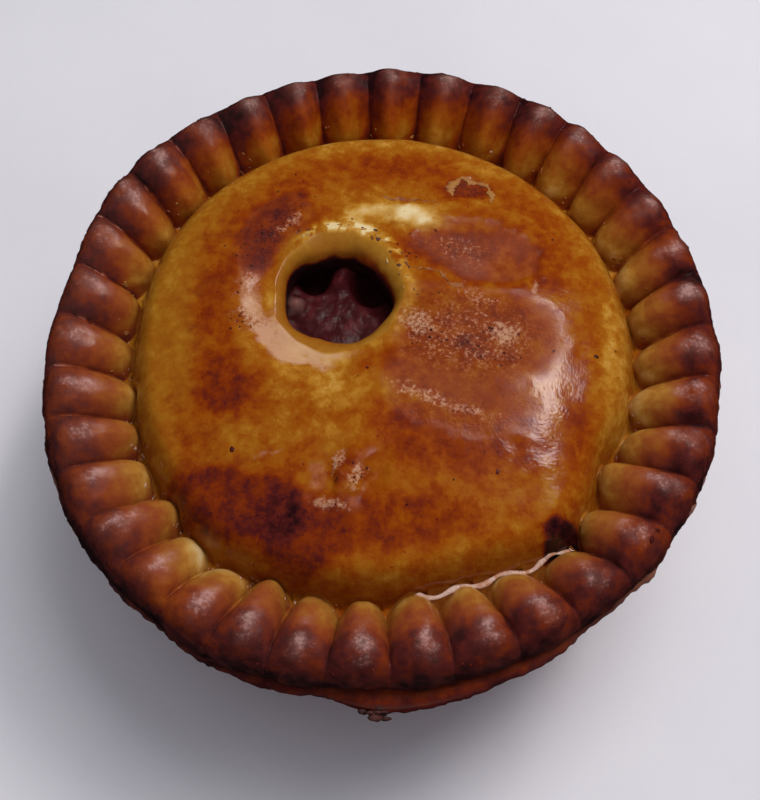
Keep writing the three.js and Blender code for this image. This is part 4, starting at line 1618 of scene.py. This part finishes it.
@dataclass
class MeatFilling:
    """The meat core, lumpy where it shows down the steam hole."""

    form: PieForm
    columns: int = 180
    near_rows: int = 40
    near_radius: float = 13.0
    gap: float = 0.3
    floor_depth: float = 7.6
    rough_seed: int = 31
    tone_seed: int = 32
    LUMPS: tuple[Lump, ...] = (
        Lump(-0.2, 5.6, 1.1, 2.4),
        Lump(1.2, 7.6, 1.4, 2.2),
        Lump(-3.6, 6.4, -4.6, 2.8),
        Lump(4.6, 4.6, -4.6, 3.0),
        Lump(-6.2, 1.6, 1.6, 1.9, 0.2),
        Lump(-3.0, 0.5, 0.5, 3.4),
        Lump(2.2, 0.6, 0.4, 3.6),
        Lump(-0.5, -3.6, 0.5, 3.8),
        Lump(5.4, -1.6, 0.4, 2.6),
    )

    def build(self, finish: Material) -> Piece:
        """Build the meat.

        Args:
            finish: Its material.

        Returns:
            The finished piece.
        """
        f = self.form
        azimuth = np.linspace(0, 2 * np.pi, self.columns, endpoint=False)
        r_in = f.wall_top_radius - f.wall_thickness - self.gap
        r_base = f.base_radius - self.gap
        floor = f.base_thickness + self.gap
        sides = ((12.0, floor), (r_base - 5.6, floor), (r_base - 2.5, floor + 2.6),
                 (r_in - 2.7, 16.0), (r_in - 0.7, 27.0), (r_in - 1.3, f.under_lid - 3.6),
                 (r_in - 5.1, f.under_lid - self.gap - 0.1),
                 (27.0, self._ceiling(27.0)), (20.0, self._ceiling(20.0)))
        rings = Rings([polar(r, azimuth, z) for r, z in sides])
        for r in np.linspace(self.near_radius, 0.3, self.near_rows):
            to_hole = 0.75 + 0.25 * smoothstep(self.near_radius - r, 0.0, 4.0)
            plan = f.hole * to_hole + polar(r, azimuth, 0.0)[:, :2]
            rings.add(np.column_stack([plan, self._top(plan)]))
        vertices, faces = rings.sewn()
        return make_piece("meat_filling", vertices, faces, self._masks(vertices), finish)

    @property
    def _floor(self) -> float:
        """Height of the meat under the middle of the hole, without its lumps."""
        return self.form.crest_z + self.form.dome_rise - self.floor_depth

    def _ceiling(self, r: Amount) -> Amount:
        """Height of the meat close under the lid, at distances from the pie's middle."""
        return self.form.lid_height(r) - self.form.lid_thickness - self.gap - 0.4

    def _top(self, plan: Points) -> Field:
        """Height of the meat under the hole.

        Args:
            plan: x and y in mm.

        Returns:
            Heights in mm.
        """
        local = plan - self.form.hole
        lumps = sum(lump.rise * (1 - smoothstep(lump.reach(local), 0.1, 1.15)) for lump in self.LUMPS)
        flat = np.column_stack([plan, np.zeros(len(plan))])
        rough = 0.35 * Noise(self.rough_seed).layered(flat, 2.2, 3)
        blend = smoothstep(np.linalg.norm(local, axis=1), 8.6, 11.5)
        ceiling = self._ceiling(np.linalg.norm(plan, axis=1))
        return (self._floor + lumps + rough) * (1 - blend) + ceiling * blend

    def _masks(self, points: Points) -> dict[str, Field]:
        """Lean and fat masks.

        Args:
            points: Vertices in mm.

        Returns:
            The masks by name.
        """
        noise = Noise(self.tone_seed)
        ragged = 0.5 * noise.layered(points, 1.2, 3)
        fat = np.zeros(len(points))
        for lump in self.LUMPS:
            reach = lump.reach(points[:, :2] - self.form.hole) + ragged
            fat = np.maximum(fat, lump.fat * (1 - smoothstep(reach, 0.3, 1.0)))
        depth = np.clip((points[:, 2] - self._floor) / 3.0, 0, 1)
        lean = 0.15 + 0.6 * depth + 0.3 * noise.layered(points, 2.5, 3)
        return {"fat": np.clip(fat, 0, 1), "lean": np.clip(lean, 0, 1)}


# ---- small things


class Surface:
    """The crust's finished skin, to lay small things on."""

    def __init__(self, points: Points, faces: Faces) -> None:
        """Index the skin's faces."""
        self.tree = BVHTree.FromPolygons(points.tolist(), faces)

    def under(self, x: float, y: float) -> tuple[Points, Points]:
        """Find the skin below a place.

        Args:
            x: Millimetres to the right.
            y: Millimetres to the far side.

        Returns:
            The place on the skin and the skin's normal there.
        """
        above = 90.0
        place, normal, _, _ = self.tree.ray_cast(Vector((x, y, above)), Vector((0.0, 0.0, -1.0)))
        if place is None:
            raise ValueError(f"no skin below {x:.1f}, {y:.1f}")
        return np.array(place), np.array(normal)

    def under_polar(self, r: float, azimuth: float) -> tuple[Points, Points]:
        """Find the skin below a distance from the middle and an azimuth in radians."""
        return self.under(r * math.cos(azimuth), r * math.sin(azimuth))


@dataclass
class Heap:
    """Many small bodies gathered in one mesh."""

    vertices: list[Points] = field(default_factory=list)
    faces: Faces = field(default_factory=list)
    tones: list[Field] = field(default_factory=list)

    def add(self, points: Points, faces: Faces, tone: float | Field) -> None:
        """Add one body.

        Args:
            points: Its vertices in mm.
            faces: Its faces.
            tone: Its mask, one number or one for each vertex.
        """
        start = sum(len(body) for body in self.vertices)
        self.vertices.append(points)
        self.faces += [tuple(start + i for i in face) for face in faces]
        self.tones.append(np.broadcast_to(tone, len(points)))

    def build(self, name: str, finish: Material, masks: dict[str, float], tone: str) -> Piece:
        """Make the piece.

        Args:
            name: The piece's name.
            finish: Its material.
            masks: Masks that are the same all over.
            tone: Name of the mask that the bodies' tones are kept in.

        Returns:
            The finished piece.
        """
        points = np.vstack(self.vertices)
        layers = {mask: np.full(len(points), value) for mask, value in masks.items()}
        layers[tone] = np.concatenate(self.tones)
        return make_piece(name, points, self.faces, layers, finish)


def pebble(rng: np.random.Generator, size: Triple, rough: float,
           rows: int = 6, columns: int = 10) -> tuple[Points, Faces]:
    """Make a small uneven body round the origin.

    Args:
        rng: Source of unevenness.
        size: Half its length, width and height in mm.
        rough: How uneven it is.
        rows: Rings from top to bottom.
        columns: Points in a ring.

    Returns:
        Vertices and faces.
    """
    turn = np.linspace(0, 2 * np.pi, columns, endpoint=False)
    rings = Rings()
    for tilt in np.linspace(-np.pi / 2, np.pi / 2, rows + 2)[1:-1]:
        reach = math.cos(tilt) * (1 + rough * rng.normal(0, 1, columns))
        height = math.sin(tilt) + 0.4 * rough * rng.normal(0, 1, columns)
        rings.add(polar(reach, turn, height) * size)
    return rings.sewn()


def laid(points: Points, place: Points, normal: Points, turn: float) -> Points:
    """Turn a small body and stand it on a surface.

    Args:
        points: Vertices round the origin.
        place: Where it stands.
        normal: Which way is up for it.
        turn: How far it spins about that, in radians.

    Returns:
        The moved vertices.
    """
    up = normal / np.linalg.norm(normal)
    side = np.cross((math.cos(turn), math.sin(turn), 0.0), up)
    side /= np.linalg.norm(side)
    return points @ np.vstack([np.cross(up, side), side, up]) + place


def ridge(surface: Surface, path: Curve, width: float, height: float,
          rng: np.random.Generator, ragged: float = 0.25, step: float = 0.22) -> tuple[Points, Faces, Field]:
    """Raise a ragged ridge of pastry along a path on the lid.

    Args:
        surface: What it lies on.
        path: Places it passes, in mm.
        width: Half its width in mm.
        height: How far it stands up in mm.
        rng: Source of raggedness.
        ragged: Share by which width and height vary.
        step: Distance between its rings in mm.

    Returns:
        Vertices, faces, and 1 on the ridge's top to 0 at its foot.
    """
    length = float(np.linalg.norm(np.diff(curve_through(path, 60), axis=0), axis=1).sum())
    line = curve_through(path, max(8, int(length / step)))
    along = np.gradient(line, axis=0)
    side = np.column_stack([-along[:, 1], along[:, 0]]) / np.linalg.norm(along, axis=1)[:, None]
    around = np.linspace(0, 2 * np.pi, 10, endpoint=False)
    slow = np.ones(5) / math.sqrt(5)
    wider, higher, aside = (np.convolve(rng.normal(0, ragged, len(line)), slow, "same") for _ in range(3))
    rings = Rings()
    for i, middle in enumerate(line):
        end = math.sin(math.pi * min(i, len(line) - 1 - i, 6) / 12.0) + 0.1
        wide = width * end * (1 + wider[i]) * np.cos(around)
        high = height * end * (1 + higher[i]) * np.sin(around)
        place, _ = surface.under(*(middle + side[i] * width * aside[i]).tolist())
        rings.add(place + np.column_stack([np.outer(wide, side[i]), high]))
    points, faces = rings.sewn()
    tops = np.tile(np.clip(np.sin(around), 0, 1), len(line))
    return points, faces, np.r_[tops, 0.5, 0.5]


def crumb(rng: np.random.Generator, rough: float, rows: int = 6, columns: int = 10) -> tuple[Points, Faces]:
    """Make a flat crumb of pastry, up to 0.8 mm long."""
    return pebble(rng, tuple(rng.uniform(0.5, 1.3, 3) * (0.30, 0.20, 0.08)), rough, rows, columns)


@dataclass
class LidFlakes:
    """Broken pastry on the lid: the lip's pale flakes, a curled blister and torn edges."""

    form: PieForm
    surface: Surface
    seed: int = 5
    crumbs: int = 60
    chips: int = 26
    curl: Curve = (
        (10.2, 22.2), (10.5, 24.2), (11.6, 25.5), (13.4, 25.4), (15.0, 24.4), (15.9, 22.8), (15.6, 21.0),
    )
    tears: tuple[Curve, ...] = (
        ((4.4, 9.4), (6.2, 9.3), (7.6, 8.7), (8.8, 7.9), (9.9, 6.6), (11.3, 5.6)),
        ((0.2, 21.4), (2.4, 21.7), (4.6, 21.2), (6.4, 21.4), (8.6, 20.6)),
    )

    def build(self, finish: Material) -> Piece:
        """Build the flakes.

        Args:
            finish: Their material.

        Returns:
            The finished piece.
        """
        rng = np.random.default_rng(self.seed)
        heap = Heap()
        points, faces, top = ridge(self.surface, self.curl, 0.60, 0.17, rng, 0.40)
        heap.add(points, faces, 0.43 - 0.15 * top)
        for tear in self.tears:
            points, faces, top = ridge(self.surface, tear, 0.20, 0.06, rng, 0.9)
            heap.add(points, faces, 0.54 - 0.16 * top)
        self._lip_flakes(heap, rng)
        self._gutter_crumbs(heap, rng)
        return heap.build("lid_flakes", finish, {"gloss": 0.45, "blister": 0.4, "grey": 0.2}, "bake")

    def _gutter_crumbs(self, heap: Heap, rng: np.random.Generator) -> None:
        """Drop pale crumbs at the feet of the far creases.

        Args:
            heap: Where they go.
            rng: Source of their places.
        """
        for k in rng.uniform(0.0, 18.0, self.crumbs):
            turn = float(self.form.crease_azimuth(np.round(k)) + rng.normal(0, 0.014))
            place, normal = self.surface.under_polar(self.form.gutter_at(turn) + rng.uniform(0.3, 2.4), turn)
            points, faces = crumb(rng, 0.3, 4, 8)
            heap.add(laid(points, place, normal, turn), faces, rng.uniform(0.2, 0.5))

    def _lip_flakes(self, heap: Heap, rng: np.random.Generator) -> None:
        """Scatter pale chips along the far and right part of the lip.

        Args:
            heap: Where they go.
            rng: Source of their places.
        """
        f = self.form
        for angle in np.radians(rng.uniform(-6, 132, self.chips)):
            turn = angle + rng.normal(0, 0.06)
            reach = f.lip_reach(turn) + rng.normal(0.5, 0.6)
            plan = f.hole + f.lip_shift + polar(reach, turn, 0.0)[0, :2]
            place, normal = self.surface.under(*plan.tolist())
            points, faces = crumb(rng, 0.26)
            tone = rng.uniform(0.08, 0.3) + (0.66 if rng.random() < 0.5 else 0.0)
            heap.add(laid(points, place, normal, turn + math.pi / 2 + rng.normal(0, 0.5)), faces, tone)


@dataclass
class BurntSpecks:
    """Burnt bubbles and pinholes in the glaze."""

    surface: Surface
    seed: int = 8
    rim_crumbs: int = 90
    spots: Triples = (
        (-19.3, -17.2, 0.34), (15.2, -20.4, 0.30), (-40.6, 3.4, 0.42), (29.2, -3.6, 0.30), (10.2, 23.6, 0.5),
        (34.6, -29.0, 0.4), (35.6, -27.6, 0.3), (-33.0, 8.0, 0.26),
    )
    fields: tuple[tuple[float, float, float, float, float, int], ...] = (
        (-15.8, 15.6, 8.5, 3.6, 58, 60), (12.4, -2.4, 9.0, 3.4, -12, 34), (-18.4, 1.2, 2.0, 1.8, 0, 9),
        (3.5, 13.0, 2.0, 3.0, 20, 9), (12.6, 23.4, 2.4, 1.6, 0, 9), (0.0, 0.0, 33.0, 31.0, 0, 40),
        (-4.0, -21.4, 3.0, 3.0, 0, 6),
    )

    def build(self, finish: Material, form: PieForm) -> Piece:
        """Build the specks.

        Args:
            finish: Their material.
            form: The pie's sizes, to keep clear of the hole.

        Returns:
            The finished piece.
        """
        rng = np.random.default_rng(self.seed)
        spots = list(self.spots)
        for middle_x, middle_y, long, short, degrees, count in self.fields:
            angle = math.radians(degrees)
            for _ in range(count):
                a, b = rng.normal(0, 0.5, 2) * (long, short)
                x = middle_x + a * math.cos(angle) - b * math.sin(angle)
                y = middle_y + a * math.sin(angle) + b * math.cos(angle)
                if form.from_hole(np.array([[x, y]]))[0] > 11.0 and math.hypot(x, y) < 33.0:
                    spots.append((x, y, rng.uniform(0.07, 0.20)))
        reach = form.gutter_radius + 9.3
        for turn in rng.uniform(0.0, 2 * math.pi, self.rim_crumbs):
            r = reach + form.rim_bulge(turn) - abs(rng.normal(0, 0.5))
            spots.append((r * math.cos(turn), r * math.sin(turn), rng.uniform(0.10, 0.24)))
        heap = Heap()
        for x, y, size in spots:
            place, normal = self.surface.under(x, y)
            on_rim = math.hypot(x, y) > form.gutter_radius + 7.0
            points, faces = pebble(rng, (size * 1.2, size * 0.9, 0.6 * size if on_rim else 0.07), 0.18, 4, 9)
            tone = rng.uniform(0.8, 1.0) - (0.06 if on_rim else 0.0)
            heap.add(laid(points, place, normal, rng.uniform(0, 3)), faces, tone)
        return heap.build("burnt_specks", finish, {"gloss": 0.6, "blister": 0.2}, "bake")


@dataclass
class GutterJelly:
    """Flecks of set jelly and pastry bits caught in the creases and the gutter, pale as painted glints."""

    form: PieForm
    surface: Surface
    seed: int = 21
    spans: tuple[tuple[float, float, int], ...] = (
        (176.0, 204.0, 9), (204.0, 246.0, 26), (60.0, 76.0, 6), (100.0, 150.0, 8), (334.0, 350.0, 6),
        (248.0, 262.0, 6),
    )

    def build(self, finish: Material) -> Piece:
        """Build the flecks.

        Args:
            finish: Their material.

        Returns:
            The finished piece.
        """
        rng = np.random.default_rng(self.seed)
        heap = Heap()
        for low, high, count in self.spans:
            for _ in range(count):
                azimuth = math.radians(rng.uniform(low, high))
                crease = self.form.crease_azimuth(np.round(np.degrees(azimuth) / 10.0 - 0.3))
                azimuth = 0.35 * azimuth + 0.65 * float(crease)
                r = self.form.gutter_at(azimuth) + rng.normal(0.1, 0.4)
                place, normal = self.surface.under_polar(r, azimuth)
                long = rng.uniform(0.14, 0.42)
                points, faces = pebble(rng, (long, long * 0.6, 0.16), 0.24)
                heap.add(laid(points, place + 0.1 * normal, normal, rng.uniform(0, 3)), faces, 0.0)
        return heap.build("gutter_jelly", finish, {}, "tone")


@dataclass
class JellyPool:
    """Set jelly that lies in the gutter at the near right, level but for a bead on its lid side."""

    form: PieForm
    surface: Surface
    start: float = -85.0
    end: float = -48.0
    rings: int = 190
    bead_height: float = 0.08
    bead_width: float = 0.9
    sunk: float = 3.0
    edge_seed: int = 14
    edge_rings: int = 300
    edge_radius: float = 0.25
    edge_from: float = -83.0
    edge_to: float = -48.5

    def build(self, finish: Material) -> Piece:
        """Build the jelly.

        Args:
            finish: Its material.

        Returns:
            The finished piece.
        """
        skin = Rings()
        across = np.linspace(0.0, 1.0, 15)
        for i, degrees in enumerate(np.linspace(self.start, self.end, self.rings)):
            azimuth = math.radians(degrees)
            end = math.sin(math.pi * min(i, self.rings - 1 - i, 30) / 60.0)
            level = self._level(degrees)
            inner, outer = self._shores(azimuth, level)
            r = inner + (outer - inner) * across
            bead = np.sin(np.pi * np.clip((r - inner) / self.bead_width, 0, 1)) ** 0.8
            top = level + end * self.bead_height * bead
            under = np.full(len(r), level - self.sunk)
            skin.add(polar(np.r_[r, r[::-1]], azimuth, np.r_[top, under]))
        points, faces = skin.sewn()
        return make_piece("jelly_pool_skin", points, faces, {}, finish)

    def build_edge(self, finish: Material) -> Piece:
        """Build the bead along the pool's lid side, pale as a painted highlight.

        Args:
            finish: Its material.

        Returns:
            The finished piece.
        """
        rng = np.random.default_rng(self.edge_seed)
        skin = Rings()
        turn = np.linspace(0, 2 * np.pi, 9, endpoint=False)
        for i, degrees in enumerate(np.linspace(self.edge_from, self.edge_to, self.edge_rings)):
            azimuth = math.radians(degrees)
            taper = math.sin(math.pi * min(i, self.edge_rings - 1 - i, 16) / 32.0) + 0.1
            size = self.edge_radius * taper * (1 + 0.22 * math.sin(0.11 * i) + 0.05 * rng.normal())
            r = self._edge_line(degrees)
            place, _ = self.surface.under_polar(r, azimuth)
            height = max(place[2], self._level(degrees)) + 0.03 + 0.7 * size * np.sin(turn)
            skin.add(polar(r + size * 1.3 * np.cos(turn), azimuth, height))
        points, faces = skin.sewn()
        return make_piece("jelly_edge", points, faces, {}, finish)

    def _edge_line(self, degrees: float) -> float:
        """Distance of the pale edge from the middle, which swings in at every crimp.

        Args:
            degrees: Azimuth in degrees.

        Returns:
            Millimetres.
        """
        crimp = (degrees - 1.8) % 10.0 / 10.0
        mean = 35.75 + 2.0 * smoothstep(degrees, -74.0, -46.0)
        swing = 0.36 * math.cos(2 * math.pi * (crimp - 0.45))
        return mean - swing + 0.1 * math.sin(math.radians(23 * degrees))

    def _level(self, degrees: float) -> float:
        """Height of the jelly, which thins out at both ends.

        Args:
            degrees: Azimuth in degrees.

        Returns:
            Millimetres above the table.
        """
        end = smoothstep(min(degrees - self.start, self.end - degrees), 0.0, 6.0)
        ripples = 0.1 * math.sin(math.radians(9 * degrees))
        return self.form.crest_z - self.form.jelly_level - 1.2 * (1 - end) + ripples

    def _shores(self, azimuth: float, level: float) -> tuple[float, float]:
        """Find where the jelly's level meets the lid and the crimps.

        Args:
            azimuth: Azimuth in radians.
            level: Height of the jelly in mm.

        Returns:
            Distances of the two shores from the pie's middle, each a little under the pastry.
        """
        tuck, step = 0.12, 0.1
        lowest = self.form.gutter_at(azimuth) + 0.1

        def dry(r: float) -> bool:
            """Whether the pastry stands above the level at a distance from the middle."""
            return self.surface.under_polar(r, azimuth)[0][2] > level

        inner = outer = lowest
        while not dry(inner) and inner > lowest - 3.0:
            inner -= step
        while not dry(outer) and outer < lowest + 3.2:
            outer += step
        return inner - tuck, outer + tuck


@dataclass
class RimLeak:
    """A dark scab of boiled-out filling on the ledge, with a hanging thread."""

    form: PieForm
    seed: int = 3
    centre: Triple = (-0.9, -49.2, -9.0)
    lumps: int = 26
    thread_radius: float = 0.09

    def build(self, finish: Material) -> Piece:
        """Build the leak.

        Args:
            finish: Its material.

        Returns:
            The finished piece.
        """
        rng = np.random.default_rng(self.seed)
        heap = Heap()
        middle = np.array(self.centre) + (0, 0, self.form.crest_z)
        for _ in range(self.lumps):
            offset = rng.normal(0, 1, 3) * (0.8, 0.32, 0.45)
            size = rng.uniform(0.3, 0.75, 3) * (1.2, 0.8, 0.8)
            points, faces = pebble(rng, tuple(size), 0.16)
            heap.add(points + middle + offset, faces, rng.uniform(0.92, 1.0))
        turn = np.linspace(0, 2 * np.pi, 7, endpoint=False)
        section = self.thread_radius * np.column_stack([np.cos(turn), np.zeros(7), np.sin(turn)])
        thread = Rings([
            middle + section + (0.9 + 0.5 * math.sin(4 * share), -0.3 - 0.5 * share, -0.3 - 1.3 * share)
            for share in np.linspace(0, 1, 14)
        ])
        points, faces = thread.sewn()
        heap.add(points, faces, 0.9)
        return heap.build("rim_leak", finish, {"gloss": 0.9, "blister": 0.6, "grey": 0.12}, "bake")


# ---- studio


@dataclass(frozen=True)
class SoftLight:
    """A soft rectangular light that faces the pie."""

    name: str
    towards: Triple
    distance: float
    width: float
    height: float
    watts: float
    colour: Colour
    glints: bool = True
    roll: float = 0.0

    def build(self, aim: Vector) -> Piece:
        """Place the light.

        Args:
            aim: What it faces, in metres.

        Returns:
            The light.
        """
        data = bpy.data.lights.new(self.name, "AREA")
        data.shape = "RECTANGLE"
        data.size, data.size_y = self.width, self.height
        data.energy = self.watts
        data.color = self.colour
        light = bpy.data.objects.new(self.name, data)
        light.location = aim + Vector(self.towards).normalized() * self.distance
        turn = Quaternion((0.0, 0.0, 1.0), math.radians(self.roll))
        light.rotation_euler = ((aim - light.location).to_track_quat("-Z", "Y") @ turn).to_euler()
        light.visible_glossy = self.glints
        bpy.context.scene.collection.objects.link(light)
        return light


@dataclass(frozen=True)
class Studio:
    """Table, lights, sky and camera."""

    rim_height: float
    table_size: float = 2.4
    camera_elevation: float = 65.15
    camera_distance: float = 165.0
    aim_y: float = -9.7
    focal_pixels: float = 1236.0
    frame_height: float = 800.0
    sensor: float = 36.0
    lights: tuple[SoftLight, ...] = (
        SoftLight("window", (0.390, 0.335, 0.86), 1.0, 0.105, 0.36, 2.5, (1.0, 0.90, 0.86), True, 52.0),
        SoftLight("key", (0.29, 0.21, 0.93), 0.5, 0.25, 0.25, 1.16, (1.0, 1.0, 0.97), False),
        SoftLight("top", (0.06, 0.06, 0.99), 1.1, 0.8, 0.8, 2.2, (0.95, 0.98, 1.0), False),
    )
    sky: Colour = (0.80, 0.81, 0.90)
    sky_strength: float = 0.24

    def build(self, groups: ShaderGroups) -> None:
        """Set up everything round the pie.

        Args:
            groups: The shared shader groups.
        """
        self._table(TableFinish().material(groups))
        aim = Vector((0.0, 0.0, self.rim_height * MM))
        for light in self.lights:
            light.build(aim)
        self._sky()
        self._camera()
        view = bpy.context.scene.view_settings
        view.view_transform = "Standard"
        view.look = "None"

    def _table(self, finish: Material) -> None:
        """Lay the table top, a fine grid that stays flat.

        Args:
            finish: Its material.
        """
        cells = 24
        line = np.linspace(-0.5, 0.5, cells + 1) * self.table_size / MM
        x, y = np.meshgrid(line, line)
        vertices = np.column_stack([x.ravel(), y.ravel(), np.zeros(x.size)])
        n = cells + 1
        faces = [(j * n + i, j * n + i + 1, (j + 1) * n + i + 1, (j + 1) * n + i)
                 for j in range(cells) for i in range(cells)]
        table = make_piece("table_top", vertices, faces, {}, finish)
        table.visible_glossy = False

    def _sky(self) -> None:
        """Light everything softly from all round."""
        world = bpy.data.worlds.new("soft_sky")
        world.use_nodes = True
        background = world.node_tree.nodes["Background"]
        background.inputs["Color"].default_value = (*self.sky, 1.0)
        background.inputs["Strength"].default_value = self.sky_strength
        world.cycles_visibility.glossy = False
        bpy.context.scene.world = world

    def _camera(self) -> None:
        """Place the camera above the near side, looking down on the lid."""
        data = bpy.data.cameras.new("camera")
        data.sensor_width = self.sensor
        data.lens = self.focal_pixels * self.sensor / self.frame_height
        data.clip_start = 0.005
        camera = bpy.data.objects.new("camera", data)
        angle = math.radians(self.camera_elevation)
        aim = Vector((0.0, self.aim_y, self.rim_height)) * MM
        back = Vector((0.0, -math.cos(angle), math.sin(angle)))
        camera.location = aim + back * self.camera_distance * MM
        camera.rotation_euler = (-back).to_track_quat("-Z", "Y").to_euler()
        bpy.context.scene.collection.objects.link(camera)
        bpy.context.scene.camera = camera


# ---- assembly


def dress(piece: Piece, slot: str, *nodes: str) -> None:
    """Let a piece ride on the pie and stand for CAD nodes.

    Args:
        piece: The piece.
        slot: Not used.
        *nodes: CAD nodes that it stands for.
    """
    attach(piece, "root")
    if nodes:
        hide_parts(*nodes)
    LOG.info("%s: %d faces", piece.name, len(piece.data.polygons))


def main() -> None:
    """Build the pie piece by piece, then its studio."""
    logging.basicConfig(level=logging.INFO, format="%(message)s")
    groups = ShaderGroups()
    form = PieForm.from_frame()
    crust_finish = CrustFinish().material(groups)
    jelly_finish = JellyFinish().material(groups)
    crust = Crust(form)
    dress(crust.build(crust_finish), "baked_crust", "crust")
    dress(MeatFilling(form).build(MeatFinish().material(groups)), "pork_meat", "meat")
    glint_finish = JellyGlintFinish().material(groups)
    pool = JellyPool(form, crust.surface)
    dress(pool.build(jelly_finish), "savoury_jelly", "jelly_pool")
    dress(pool.build_edge(glint_finish), "savoury_jelly")
    dress(GutterJelly(form, crust.surface).build(glint_finish), "savoury_jelly")
    dress(LidFlakes(form, crust.surface).build(crust_finish), "baked_crust")
    dress(BurntSpecks(crust.surface).build(crust_finish, form), "baked_crust")
    dress(RimLeak(form).build(crust_finish), "baked_crust")
    Studio(rim_height=form.crest_z).build(groups)


if __name__ == "__main__":
    main()
